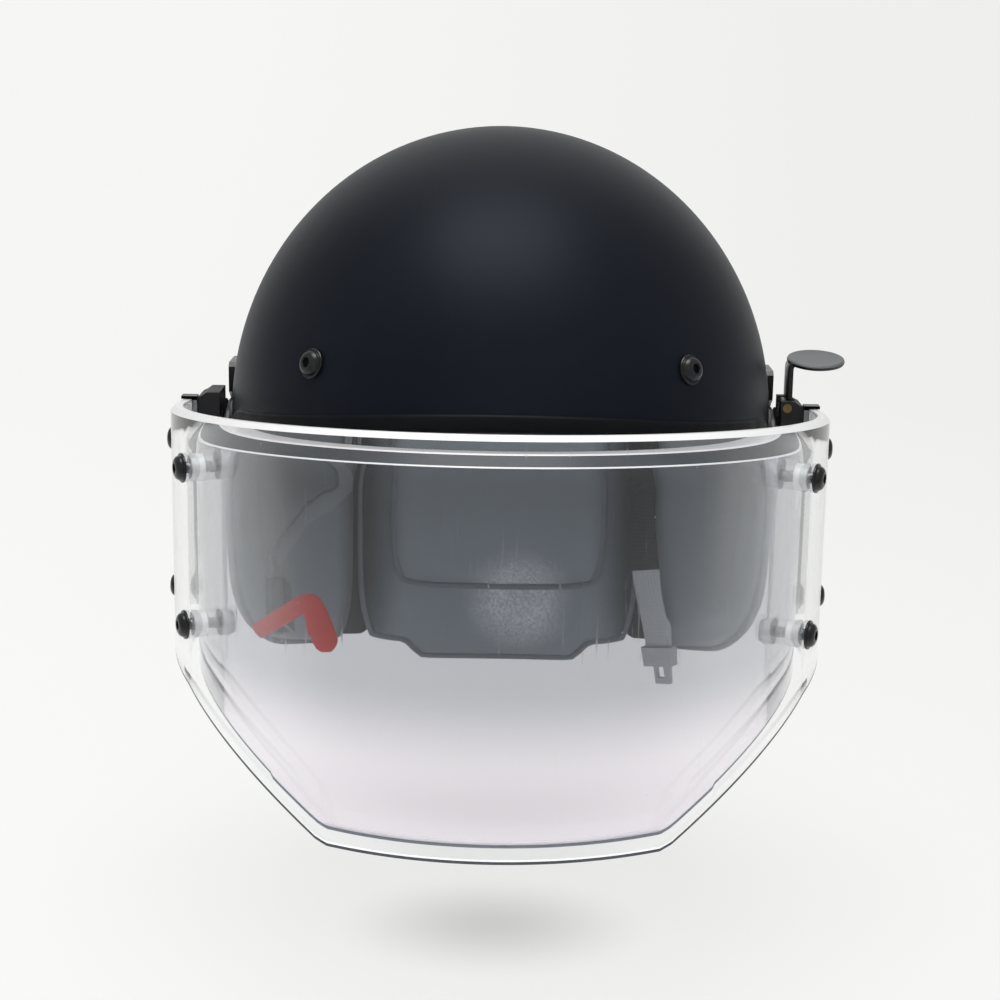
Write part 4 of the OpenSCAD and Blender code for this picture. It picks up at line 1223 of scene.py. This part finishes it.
@dataclass
class Pad:
    """Foam pad in cloth that lies along the shell's form.

    The pad is a patch in turn and height with drawn-in corners. Both faces come together at the
    border by the root of (1 less u to the fourth) times (1 less v to the fourth), pinch_out of it
    from outside. The lower front corner can be drawn in more, lean in, and rise.
    """

    name: str
    node: str
    finish: str
    slot: str
    turns: tuple[float, float]
    heights: tuple[float, float]
    out: float
    thick: float
    slope: float = 0.0
    under_rim: bool = False
    side: Side = Side.LEFT
    pinch_out: float = 0.5
    front_cut: float = 0.10
    lean: float = 0.0
    step: float = 0.0
    step_at: tuple[float, float] = (0.56, 0.74)
    rise: float = 0.0
    hinge: tuple[float, float] | None = None
    disc: tuple[float, float] = (26.0, 36.0)
    least: float = 3.5
    corner_cut: float = 0.10
    border_t: float = 0.32
    sewn: float = 0.985
    rows: int = 30
    cols: int = 40

    def patch(self, shell: Shell, u: np.ndarray, v: np.ndarray, share: np.ndarray) -> np.ndarray:
        """Points of the pad.

        Args:
            shell: The shell whose form it follows.
            u: From -1 to 1 along the turn.
            v: From -1 to 1 up the pad.
            share: 0 on the outer face, 1 on the inner one.

        Returns:
            The points.
        """
        cut = np.where((u < 0) & (v < 0), self.front_cut, self.corner_cut)
        first, last = self.turns
        turn = (first + last) / 2 + (last - first) / 2 * u * (1 - cut * v**4)
        low = self.heights[0] + self.slope * (-shell.half_l * np.cos(np.radians(turn)))
        low = low + self.step * ease(np.abs(u), *self.step_at) + self.rise * ease(-u, -0.2, 1.0)
        top = self.heights[1] + (shell.rim(turn) if self.under_rim else 0.0)
        z = (low + top) / 2 + (top - low) / 2 * v * (1 - 0.06 * np.abs(u) ** 6)
        swell = np.sqrt(np.maximum(0, (1 - u**4) * (1 - v**4)))
        pinch = self.thick * (1 - self.border_t) * (1 - swell)
        face = self.out - self.lean * ((1 - v) / 2) ** 3 * (1 - u) / 2
        outer = face - pinch * self.pinch_out
        inner = face - self.thick + pinch * (1 - self.pinch_out)
        if self.hinge is not None:
            outer, inner = self.press(shell.at(turn, shell.lift(z), 0.0), outer, inner)
        points = shell.at(turn, shell.lift(z), outer + share * (inner - outer))
        return points * [self.side.value, 1, 1]

    def press(self, on_shell: np.ndarray, outer: np.ndarray,
              inner: np.ndarray) -> tuple[np.ndarray, np.ndarray]:
        """Presses the pad in beside the hinge disc, fully near the pivot, to none past the disc.

        Args:
            on_shell: The places on the shell's form.
            outer: How far out the outer face stands there.
            inner: How far out the inner face stands there.

        Returns:
            Both, pressed.
        """
        away = np.hypot(on_shell[..., 1] - self.hinge[0], on_shell[..., 2] - self.hinge[1])
        outer = outer - (1 - ease(away, *self.disc)) * np.maximum(outer - 0.3, 0)
        return outer, np.minimum(inner, outer - self.least)

    def build(self, shell: Shell, finishes: Finishes) -> Object:
        """Both faces of the patch, joined round the border.

        Args:
            shell: The shell whose form it follows.
            finishes: The helmet's materials.

        Returns:
            The pad, dressed but not yet on its body.
        """
        u = np.sin(np.linspace(-1, 1, self.cols) * math.pi / 2)[None, :]
        v = np.sin(np.linspace(-1, 1, self.rows) * math.pi / 2)[:, None]
        front = self.patch(shell, u, v, np.zeros((1, 1)))
        back = self.patch(shell, u, v, np.ones((1, 1)))
        count = self.rows * self.cols
        faces = quads(self.rows, self.cols)
        faces += [[c + count for c in f[::-1]] for f in quads(self.rows, self.cols)]
        grid = np.arange(count).reshape(self.rows, self.cols)
        ring = np.concatenate([grid[0, :-1], grid[:-1, -1], grid[-1, :0:-1], grid[:0:-1, 0]])
        nxt = np.roll(ring, -1)
        faces += np.stack([nxt, ring, ring + count, nxt + count], axis=1).tolist()
        points = np.vstack([front.reshape(-1, 3), back.reshape(-1, 3)])
        piece = make_piece(self.name, points, faces, crease=80)
        finishes.dress(piece, self.finish)
        return piece

    def border(self, shell: Shell, count: int = 160) -> np.ndarray:
        """Points round the pad, halfway through it and a little inside its border.

        Args:
            shell: The shell whose form it follows.
            count: Number of points.

        Returns:
            The points, in order.
        """
        t = np.linspace(0, 4, count, endpoint=False)
        edge, f = t.astype(int), np.sin((t % 1 * 2 - 1) * math.pi / 2)
        u = np.select([edge == 0, edge == 1, edge == 2], [f, np.ones_like(f), -f], -np.ones_like(f))
        v = np.select([edge == 0, edge == 1, edge == 2], [-np.ones_like(f), f, np.ones_like(f)], -f)
        return self.patch(shell, self.sewn * u, self.sewn * v, np.full_like(f, 0.5))


@dataclass
class SoftParts:
    """Liner pads, ear and nape guards, and their piping."""

    shell: Shell
    liner_out: float = -8.5
    liner_thick: float = 15.0
    crown_reach: float = 30.0
    swell_in: float = 2.5
    swell_out: float = 0.4
    voxel: float = 3.0
    frames: int = 20
    piping_r: float = 1.6

    def pads(self) -> list[Pad]:
        """Every pad but the crown's, with the sizes of the part's source.

        Returns:
            The pads.
        """
        liner = {"finish": "liner_knit", "slot": "liner_fabric", "out": self.liner_out,
                 "thick": self.liner_thick}
        guard = {"slot": "guard_fabric", "slope": -0.3, "under_rim": True}
        ear = guard | {"finish": "guard_cloth", "out": 11.5, "thick": 19.0, "pinch_out": 0.1,
                       "front_cut": 0.38, "lean": 8.0, "rise": 7.0, "hinge": (10.0, -18.0)}
        nape = guard | {"finish": "nape_cloth"}
        pads = [Pad("brow_liner", "brow_pad", turns=(-34, 34), heights=(34, 74), **liner),
                Pad("rear_liner", "rear_pad", turns=(153, 207), heights=(0, 58), **liner)]
        pads += [Pad(f"side_liner_{side.label}", f"side_pad_{side.label}", turns=(68, 122),
                     heights=(16, 62), side=side, **liner) for side in Side]
        pads += [Pad(f"ear_cushion_{side.label}", f"ear_guard_{side.label}", turns=(80, 141),
                     heights=(-116, -2.6), side=side, **ear) for side in Side]
        pads += [Pad("nape_cushion", "nape_guard", turns=(143.5, 216.5), heights=(-125, -2.6),
                     out=11.5, thick=14.0, pinch_out=0.1, step=9.0, **nape),
                 Pad("nape_liner", "nape_pad", turns=(149.5, 210.5), heights=(-80, -8.6),
                     out=-2.8, thick=10.0, **nape)]
        return pads

    def sew_strips(self, finishes: Finishes) -> None:
        """Cloth strips outside over the seams between the ear cushions and the nape cushion.

        Args:
            finishes: The helmet's materials.
        """
        halves = [
            Pad("strip", "seam_strips", "seam_cloth", "guard_fabric", turns=(137.0, 147.5),
                heights=(-113, -3.6), out=13.0, thick=1.2, slope=-0.3, under_rim=True, side=side,
                corner_cut=0.02, front_cut=0.02, rows=20, cols=8).build(self.shell, finishes)
            for side in Side
        ]
        hand_in(join("seam_strips_cloth", halves), Body.HELMET, "guard_fabric", "seam_strips")

    def crown(self, finishes: Finishes) -> Object:
        """Round pad under the crown: a cap whose two faces come together at its border.

        Args:
            finishes: The helmet's materials.

        Returns:
            The pad, dressed but not yet on its body.
        """
        turns = np.arange(0, 360, 7.5)
        share = np.linspace(1, 0.04, 14)[:, None]
        swell = np.sqrt(np.maximum(0, 1 - share**4))
        pinch = self.liner_thick * (1 - Pad.border_t) / 2 * (1 - swell)
        lift = np.radians(90 - self.crown_reach * share)
        outer = self.shell.at(turns[None, :], lift, self.liner_out - pinch)
        inner = self.shell.at(turns[None, :], lift, self.liner_out - self.liner_thick + pinch)
        rows, cols = len(share), len(turns)
        rings = np.vstack([inner[::-1], outer])
        piece = make_piece("crown_liner", rings, quads(2 * rows, cols, close_cols=True)
                           + caps(2 * rows, cols), crease=80)
        finishes.dress(piece, "liner_knit")
        return piece

    def settle(self, pieces: list[Object]) -> None:
        """Fills the pads with air as cloth for some frames and keeps each point near its start.

        Args:
            pieces: The pads.
        """
        starts = {}
        for piece in pieces:
            piece.data.remesh_voxel_size = self.voxel * MM
            with bpy.context.temp_override(active_object=piece, object=piece):
                bpy.ops.object.voxel_remesh()
            starts[piece.name] = self.coords(piece.data)
            cloth = piece.modifiers.new("filling", "CLOTH")
            cloth.settings.use_pressure = True
            cloth.settings.uniform_pressure_force = 4.0
            cloth.settings.effector_weights.gravity = 0.0
            cloth.settings.quality = 4
        for step in range(1, self.frames + 1):
            bpy.context.scene.frame_set(step)
        graph = bpy.context.evaluated_depsgraph_get()
        for piece in pieces:
            moved = self.coords(piece.evaluated_get(graph).data)
            piece.modifiers.clear()
            start = starts[piece.name]
            way = moved - start
            length = np.linalg.norm(way, axis=1, keepdims=True)
            way = way * np.minimum(1.0, self.swell_in * MM / np.maximum(length, 1e-9))
            out = unit(start / np.array([self.shell.half_w, self.shell.half_l, self.shell.crown]) ** 2)
            past = np.maximum(np.sum(way * out, axis=1, keepdims=True) - self.swell_out * MM, 0)
            kept = start + way - out * past
            piece.data.vertices.foreach_set("co", kept.astype(np.float32).ravel())
            piece.data.shade_smooth()
        bpy.context.scene.frame_set(1)

    @staticmethod
    def coords(mesh: Mesh) -> np.ndarray:
        """The mesh's points as an array.

        Args:
            mesh: The mesh.

        Returns:
            A row for each point, in metres.
        """
        flat = np.empty(len(mesh.vertices) * 3, np.float32)
        mesh.vertices.foreach_get("co", flat)
        return flat.reshape(-1, 3).astype(float)

    def build(self, finishes: Finishes) -> None:
        """Makes the pads, fills them, and sews the piping round the guards.

        Args:
            finishes: The helmet's materials.
        """
        made = [(pad, pad.build(self.shell, finishes)) for pad in self.pads()]
        crown = self.crown(finishes)
        self.settle([piece for _, piece in made] + [crown])
        for pad, piece in made:
            self.finish_pad(piece, pad.slot, pad.node)
        self.finish_pad(crown, "liner_fabric", "crown_pad")
        self.sew_strips(finishes)
        for pad, _ in made:
            if pad.slot == "guard_fabric":
                self.sew_piping(pad, finishes)

    @staticmethod
    def finish_pad(piece: Object, slot: str, node: str) -> None:
        """Args:
            piece: The pad.
            slot: The record's material slot.
            node: Node of the frame that it replaces.
        """
        smooth = piece.modifiers.new("round", "SUBSURF")
        smooth.levels = smooth.render_levels = 1
        hand_in(piece, Body.HELMET, slot, node)

    def sew_piping(self, pad: Pad, finishes: Finishes) -> None:
        """Round cord sewn into the seam at a guard's border.

        Args:
            pad: The pad.
            finishes: The helmet's materials.
        """
        line = pad.border(self.shell)
        turn = np.linspace(0, 2 * math.pi, 10, endpoint=False)
        section = self.piping_r * np.stack([np.cos(turn), np.sin(turn)], axis=1)
        piece = swept(pad.name + "_piping", section, line, unit(line * [1, 1, 0]), closed=True)
        finishes.dress(piece, "piping_cloth")
        hand_in(piece, Body.HELMET, pad.slot)


@dataclass
class Harness:
    """Chin and nape webbing, the buckle and the red moulded tab, shown undone."""

    shell: Shell
    width: float = 20.0
    thick: float = 1.6
    pad_face: float = -12.8
    turn: tuple[float, float, float] = (0.68, -0.73, 0.0)
    across: tuple[float, float, float] = (0.0, 1.0, -0.35)
    left: tuple[tuple[float, float, float], ...] = (
        (80.5, 93.6, 4), (79, 91, -14), (78, 88, -40), (77.5, 84, -75), (82, 79, -105), (87, 75, -126),
        (90, 73, -142))
    right: tuple[tuple[float, float, float], ...] = (
        (80.5, 93.6, 4), (79, 91, -14), (77, 84, -40), (84, 55, -52), (94, 10, -53), (102.5, -38, -62),
        (101.25, -42, -70), (100, -46, -78))

    def end_frame(self) -> tuple[np.ndarray, np.ndarray]:
        """End of the webbing that holds the tab, and the directions there: off its flat, across, on.

        Returns:
            The end's point and a matrix with the three directions as rows, on the wearer's right.
        """
        p = np.array(self.right, float)
        on = unit(p[-1] - p[-2])
        across = np.array(self.across)
        across = unit(across - np.dot(across, on) * on)
        off = np.cross(across, on)
        return p[-1] * [-1, 1, 1], np.stack([off, across, on]) * [-1, 1, 1]

    def build(self, finishes: Finishes) -> None:
        """Makes both chin webbings, the nape webbing and the tab, and dresses the buckle.

        The left webbing keeps one direction across. The right one turns over to the tab's. Each is
        painted dark under the shell as shade, and from the share of its length that its run names it
        takes its lower finish: on the left a pale painted light, on the right its plain gray.

        Args:
            finishes: The helmet's materials.
        """
        flat = round_box(self.width, self.thick, 0.7)
        first, last = np.array(self.turn), -np.array(self.across)
        over = ease(np.arange(len(self.right)), 1, 3)[:, None]
        # Painted shade and light: each chin webbing is dark under the shell; lower down the left one is
        # pale, the right one plain gray.
        runs = [(Side.LEFT, self.left, np.tile(first, (len(self.left), 1)), "webbing_painted_light", 0.69),
                (Side.RIGHT, self.right, (1 - over) * first + over * last, "webbing_gray", 0.30)]
        for side, knots, across, light, painted_shade_ends in runs:
            line = smooth_path(np.hstack([np.array(knots, float), across]), 90)
            line *= [side.value, 1, 1, side.value, 1, 1]
            piece = swept(f"chin_webbing_{side.label}", flat, line[:, :3], line[:, 3:])
            finishes.dress(piece, "webbing_painted_shade", light)
            share = np.arange(len(piece.data.polygons)) / len(piece.data.polygons)
            piece.data.polygons.foreach_set("material_index", (share > painted_shade_ends).astype(np.int32))
            hand_in(piece, Body.HELMET, "webbing", f"chin_strap_{side.label}")
        self.build_nape(finishes)
        self.build_tab(finishes)
        finishes.dress_node("buckle_socket", "slate_moulding")
        finishes.dress_node("buckle_plug", "pale_moulding")

    def build_nape(self, finishes: Finishes) -> None:
        """Two webbings from the rear screws that come together low on the nape pad.

        Args:
            finishes: The helmet's materials.
        """
        wall, trim = self.shell.wall, self.shell.trim_out
        on_pad = self.pad_face - self.thick / 2 - 0.5
        spots = np.array([
            (144, 21, -wall - 1.4), (146, 4, -wall - 1.4), (150, -16, -wall - trim - 1.6),
            (155, -34, on_pad), (161, -52, on_pad), (167, -72, on_pad), (172, -94, on_pad)])
        flat = round_box(self.width * 0.7, self.thick, 0.7)
        halves = []
        for side in Side:
            s = smooth_path(spots, 50)
            turn = side.value * s[:, 0]
            lift = self.shell.lift(s[:, 1])
            line = self.shell.at(turn, lift, s[:, 2])
            out = unit(self.shell.at(turn, lift, s[:, 2] + 1) - line)
            across = np.cross(out, unit(np.gradient(line, axis=0)))
            halves.append(swept("half", flat, line, across))
        piece = join("nape_webbing", halves)
        finishes.dress(piece, "webbing_gray")
        hand_in(piece, Body.HELMET, "webbing", "nape_strap")

    def build_tab(self, finishes: Finishes) -> None:
        """Red tab: a bent strip whose width swells to a round end, with soft edges.

        A knot is the place off the webbing's flat, the place along it, and half the width. Each end
        is round over its reach: the root of 1 less the square of the share that is left to it.

        Args:
            finishes: The helmet's materials.
        """
        origin, axes = self.end_frame()
        knots = [(-9.0, 18.4, 3.9), (3.0, 12.6, 4.0), (12.5, 8.2, 4.3), (16.6, 9.6, 4.8),
                 (18.6, 17.0, 5.3), (22.5, 31.0, 5.8)]
        line = smooth_path(knots, 70)
        run = run_of(line[:, :2])
        wide = line[:, 2]
        for away, reach in ((run, 1.2), (run[-1] - run, 5.8)):
            wide = wide * np.sqrt(np.maximum(1 - (1 - np.minimum(away / reach, 1.0)) ** 2, 0.02))
        loop_half, gap, tab_half = (self.width + 4) / 2, 0.3, 1.2
        deep = -(loop_half + gap + tab_half)
        world = origin + line[:, :1] * axes[0] + deep * axes[1] + line[:, 1:2] * axes[2]
        heading = unit(np.gradient(world, axis=0))
        side = np.cross(heading, axes[1])
        piece = swept("red_tab", round_box(2.0, 2 * tab_half, 0.8), world, side, scale=wide)
        finishes.dress(piece, "red_moulding")
        hand_in(piece, Body.HELMET, "red_tab", "release_tab")


# The hinge and the latch lever


@dataclass
class Lever:
    """Thumb lever: knuckle on its pin, strip that bends outwards, round pad, and tooth.

    The strip ends sunk under the pad's face.
    """

    pin_x: float = 134.4
    pin_z: float = 5.5
    pin_d: float = 3.2
    gap: float = 0.3
    width: float = 13.0
    thick: float = 2.5
    pad_d: float = 27.0
    pad_z: float = 28.0
    tilt: float = 9.0
    bend: float = 5.0
    sunk: float = 1.1
    black_rings: int = 4
    tooth_in: float = 130.2
    steps: int = 72

    def strip(self) -> Object:
        """Strip from the knuckle up and round the bend into the pad.

        Returns:
            The strip.
        """
        x0 = self.pin_x + self.gap + self.thick / 2
        turn = np.radians(np.linspace(180, 90, 12))[:, None]
        r = self.bend - self.thick / 2
        centre = np.array([x0 + r, 0.0, self.pad_z - self.bend])
        bend = centre + r * (np.cos(turn) * [1, 0, 0] + np.sin(turn) * [0, 0, 1])
        bend[:, 2] -= self.sunk * np.linspace(0, 1, len(bend)) ** 2
        line = np.vstack([[x0, 0, self.pin_z], [x0, 0, self.pin_z + 3.2], [x0, 0, self.pin_z + 3.5],
                          bend, bend[-1] + [4.0, 0, 0]])
        wide = np.ones(len(line))
        wide[:2] = 0.54
        wide[-5:] = np.linspace(0.9, 0.5, 5)
        section = round_box(self.width, self.thick, 0.6)
        return swept("strip", section, line, np.array([0, 1.0, 0]), scale=wide)

    def turned(self, name: str, rings: np.ndarray, origin: np.ndarray, axes: np.ndarray) -> Object:
        """Turns a profile of (radius, height) about the third axis at the origin.

        Args:
            name: Name of the object.
            rings: Radius and height of each ring.
            origin: Where the axis starts.
            axes: The three directions, as rows.

        Returns:
            The turned part.
        """
        turn = np.linspace(0, 2 * math.pi, self.steps, endpoint=False)
        radius, height = rings[:, :1], rings[:, 1:]
        ring = np.broadcast_arrays(radius * np.cos(turn), radius * np.sin(turn), height)
        faces = quads(len(rings), self.steps, close_cols=True) + caps(len(rings), self.steps)
        return make_piece(name, np.stack(ring, axis=-1) @ axes + origin, faces, crease=50)

    def build(self, finishes: Finishes) -> None:
        """Makes the lever of its four pieces and dresses its pin and spring.

        Args:
            finishes: The helmet's materials.
        """
        r, half, hole = self.pad_d / 2, self.thick / 2, self.pin_d / 2
        rings = np.array([
            (0.4, -half), (r - 1.0, -half), (r - 0.3, -half + 0.3), (r, -half + 0.9), (r, half - 0.9),
            (r - 0.3, half - 0.25), (r - 1.1, half), (r - 1.8, half - 0.12), (r - 4, half - 0.35),
            (r * 0.4, half - 0.5), (0.4, half - 0.55)])
        a = math.radians(self.tilt)
        axes = np.array([[1, 0, 0], [0, math.cos(a), math.sin(a)], [0, -math.sin(a), math.cos(a)]])
        pad_at = np.array([self.pin_x + self.gap + r, 0.0, self.pad_z - half])
        knuckle = np.array([(hole + 0.06, -3.5), (hole + 0.8, -3.5), (hole + 1, -3.3),
                            (hole + 1, 3.3), (hole + 0.8, 3.5), (hole + 0.06, 3.5)])
        lying = np.array([[1, 0, 0], [0, 0, 1], [0, -1, 0]], float)
        pin = np.array([self.pin_x, 0.0, self.pin_z])
        tooth = np.array([(1.5, 0, -1.3), (2.0, 0, -1.3), (2.75, 0, 0.6), (2.75, 0, self.pin_z - 1.2)])
        tooth += [self.tooth_in, 0, 0]
        parts = [
            self.strip(),
            self.turned("pad", rings, pad_at, axes),
            self.turned("knuckle", knuckle, pin, lying),
            swept("tooth", round_box(6.0, 2.4, 0.4), tooth, np.array([0, 1.0, 0])),
        ]
        finishes.dress(parts[1], "lever_coating", "black_oxide_steel")
        face = np.arange(len(parts[1].data.polygons))
        lower_cap = len(face) - 2
        below = (face < self.black_rings * self.steps) | (face == lower_cap)
        parts[1].data.polygons.foreach_set("material_index", below.astype(np.int32))
        for part in (parts[0], parts[2], parts[3]):
            finishes.dress(part, "black_oxide_steel")
        piece = join("thumb_lever", parts)
        hand_in(piece, Body.LEVER, "black_steel", "latch_lever")


def dress_hinges(finishes: Finishes) -> None:
    """Gives the plates, arms, hubs, pins and nuts of the hinge their finishes.

    Args:
        finishes: The helmet's materials.
    """
    finish_of = {"hinge_screws": "black_oxide_steel", "pivot_nuts": "black_oxide_steel",
                 "pivot_pins": "satin_steel", "latch_spring": "satin_steel", "lever_pin": "pin_brass"}
    for side in Side:
        finish_of |= {f"hinge_plate_{side.label}": "black_oxide_steel",
                      f"hinge_hub_{side.label}": "moulded_black",
                      f"carrier_arm_{side.label}": "carrier_steel"}
    for node, name in finish_of.items():
        finishes.dress_node(node, name)
    LOG.info("hinge solids dressed")


# Camera, floor and light


@dataclass
class Studio:
    """The photograph's view, a pale floor and backdrop, and soft light.

    The oval is a painted shadow on the floor, where its own light is lowered: its half widths along X and
    Y, and its middle's Y. The last four reaches are in metres, along X or Y of the floor: where its
    brightness drifts, a painted falloff of light towards the right, where it darkens in mirror images in
    front and beside, and where the lamps' light on it fades.
    """

    distance: float = 949.0
    pitch: float = 13.0
    roll: float = 0.95
    focal: float = 2000.0
    lens: float = 72.0
    below: float = -89.0
    floor_z: float = -250.0
    floor_half: float = 6000.0
    backdrop_bend: float = 1500.0
    oval: tuple[float, float, float] = (85.0, 62.0, -28.0)
    painted_shadow_depth: float = 0.30
    ambient: float = 0.32
    mirrored: float = 0.2
    front_mirrored: float = 0.38
    side_mirrored: float = 0.35
    drift: tuple[float, float] = (0.86, 0.80)
    drift_reach: tuple[float, float] = (-0.5, 0.5)
    front_reach: tuple[float, float] = (-0.45, -0.15)
    side_reach: tuple[float, float] = (1.2, 3.5)
    lit_reach: tuple[float, float] = (-0.9, -0.3)
    pale: Colour = srgb((244, 244, 243))

    def place_camera(self) -> None:
        """Camera at the photograph's angle.

        It looks along (0, cos pitch, -sin pitch). It stands back by the distance, and lower by the
        pixels that the origin lies above the picture's middle, at the origin's scale.
        """
        e, roll = math.radians(self.pitch), math.radians(self.roll)
        look = np.array([0.0, math.cos(e), -math.sin(e)])
        up = np.array([0.0, math.sin(e), math.cos(e)])
        right = np.array([1.0, 0.0, 0.0])
        place = -(self.distance * look) + self.below * self.distance / self.focal * up
        place = place + right * self.distance / self.focal
        x_axis = math.cos(roll) * right + math.sin(roll) * up
        y_axis = -math.sin(roll) * right + math.cos(roll) * up
        data = bpy.data.cameras.new("photo_camera")
        data.lens, data.sensor_width = self.lens, 36.0
        data.clip_start, data.clip_end = 0.01, 50.0
        camera = bpy.data.objects.new("photo_camera", data)
        bpy.context.scene.collection.objects.link(camera)
        world = np.eye(4)
        world[:3, 0], world[:3, 1], world[:3, 2], world[:3, 3] = x_axis, y_axis, -look, place * MM
        camera.matrix_world = Matrix(world.tolist())
        bpy.context.scene.camera = camera

    def build_stage(self) -> None:
        """Floor that curves up behind the object into a backdrop."""
        half, bend = self.floor_half, self.backdrop_bend
        turn = np.linspace(0.1, math.pi / 2, 16)
        y = np.concatenate([np.linspace(-half, bend, 16), bend + bend * np.sin(turn), [2 * bend]])
        z = np.concatenate([np.zeros(16), bend - bend * np.cos(turn), [half]])
        x = np.linspace(-half, half, 9)
        grid = np.broadcast_arrays(x[None, :], y[:, None], z[:, None] + self.floor_z)
        floor = make_piece("studio_floor", np.stack(grid, axis=-1), quads(len(y), len(x)))
        mat, g, shader = new_material("pale_floor")
        g.tree.nodes.remove(shader)
        path = g.add("ShaderNodeLightPath").outputs
        seen = g.math("MAXIMUM", path["Is Glossy Ray"], path["Is Transmission Ray"])
        seen = g.math("MAXIMUM", path["Is Camera Ray"], seen)
        black = (0.0, 0.0, 0.0, 1.0)
        lit = g.add("ShaderNodeBsdfDiffuse", {0: g.blend(self.behind(g), black, srgb((124, 124, 123)))})
        glow = g.add("ShaderNodeEmission", {0: self.pale, 1: self.floor_glow(g)})
        bright = g.add("ShaderNodeAddShader", {0: lit.outputs[0], 1: glow.outputs[0]})
        g.surface(seen, g.add("ShaderNodeBsdfDiffuse", {0: srgb((225, 225, 224))}), bright)
        floor.data.materials.append(mat)

    def floor_glow(self, g: Graph) -> NodeSocket:
        """Brightness of the floor: a painted falloff of light, a little less to the right, and a painted
        shadow, less in the oval under the helmet.

        Its parts in front of the helmet and far beside it show darker in reflections, as a room would.

        Args:
            g: The material's graph.

        Returns:
            The strength of the floor's own light.
        """
        x, y, _ = g.split(g.coords()["Object"])
        half_x, half_y, middle_y = self.oval
        # Painted shadow: the floor's own light is lowered inside the oval under the helmet.
        away = g.off_middle((x, 0.0, half_x), (y, middle_y, half_y))
        shade = g.math("SUBTRACT", 1.0, g.smooth(away, self.painted_shadow_depth, 0.0, 0.0, 1.0))
        direct = g.add("ShaderNodeLightPath").outputs["Is Camera Ray"]
        kept = g.math("MULTIPLY", g.smooth(y, self.front_mirrored, 1.0, *self.front_reach),
                      g.spread(g.math("ABSOLUTE", x), 1.0, self.side_mirrored, *self.side_reach))
        # Painted falloff of light: the floor's own light is a little less to the right.
        glow = g.math("MULTIPLY", g.spread(x, *self.drift, *self.drift_reach), shade)
        glow = g.math("MULTIPLY", glow, g.spread(self.behind(g), 1.16, 1.0))
        return g.math("MULTIPLY", glow, g.math("MAXIMUM", direct, kept))

    def behind(self, g: Graph) -> NodeSocket:
        """Share of the floor that the lamps light: all of it from the helmet on, none far before it."""
        return g.smooth(g.split(g.coords()["Object"])[1], 0.0, 1.0, *self.lit_reach)

    def light(self) -> None:
        """World that lights softly from all round, and broad lamps above and in front.

        The front lamp shows in no mirror image and not through the visor.
        """
        world = bpy.data.worlds.new("studio_world")
        bpy.context.scene.world = world
        world.use_nodes = True
        g = Graph(world.node_tree)
        path = g.add("ShaderNodeLightPath").outputs
        clear = g.math("MAXIMUM", path["Is Camera Ray"], path["Is Transmission Ray"])
        seen = g.math("MAXIMUM", clear, g.math("MULTIPLY", path["Is Glossy Ray"], self.mirrored))
        back = next(n for n in world.node_tree.nodes if n.type == "BACKGROUND")
        g.feed(back, {0: self.pale, 1: g.spread(seen, self.ambient, 1.0)})
        lamps = [("overhead", (-0.08, -0.45, 3.0), (0.0, 0.0, 0.0), 2.2, 62.0),
                 ("front_fill", (0.0, -2.8, 0.4), (0.0, 0.0, -0.05), 1.8, 44.0)]
        for name, place, target, size, power in lamps:
            lamp = bpy.data.lights.new(name, "AREA")
            lamp.shape, lamp.size, lamp.size_y, lamp.energy = "RECTANGLE", size, size * 0.8, power
            holder = bpy.data.objects.new(name, lamp)
            bpy.context.scene.collection.objects.link(holder)
            back_way = unit(np.array(place) - np.array(target))
            side = unit(np.cross([0.0, 1.0, 0.001], back_way))
            matrix = np.eye(4)
            matrix[:3, 0], matrix[:3, 1], matrix[:3, 2] = side, np.cross(back_way, side), back_way
            matrix[:3, 3] = place
            holder.matrix_world = Matrix(matrix.tolist())
            holder.visible_glossy = holder.visible_transmission = name == "overhead"
        bpy.context.scene.view_settings.view_transform = "Standard"


def main() -> None:
    """Builds the sub-assemblies in order."""
    logging.basicConfig(level=logging.INFO, format="%(message)s")
    studio = Studio()
    studio.place_camera()
    studio.build_stage()
    studio.light()
    finishes = Finishes()
    shell = Shell()
    shell.build_dome(finishes)
    shell.build_trim(finishes)
    Fasteners(shell).build(finishes)
    layers = [
        ClearLayer("outer_shield", "outer_sheet", "clear_sheet",
                   ("sheet_face", "sheet_cut_and_painted_highlight", "sheet_cut_and_painted_highlight", "sheet_painted_dark_line"), radius=151.0, thick=6.0,
                   half_turn=90.0, straight=17.0, top=22.0, inset=0.0, top_bevel=(2.4, 2.2)),
        ClearLayer("inner_shield", "inner_panel", "clear_panel",
                   ("panel_face", "panel_cut_and_painted_highlight", "panel_bevel", "panel_painted_dark_line"), radius=140.0, thick=11.0,
                   half_turn=80.0, straight=0.0, top=13.0, inset=4.0, top_bevel=(5.0, 4.5)),
    ]
    for layer in layers:
        layer.build(finishes)
    SoftParts(shell).build(finishes)
    Harness(shell).build(finishes)
    Lever().build(finishes)
    dress_hinges(finishes)
    LOG.info("boxes written")


if __name__ == "__main__":
    main()
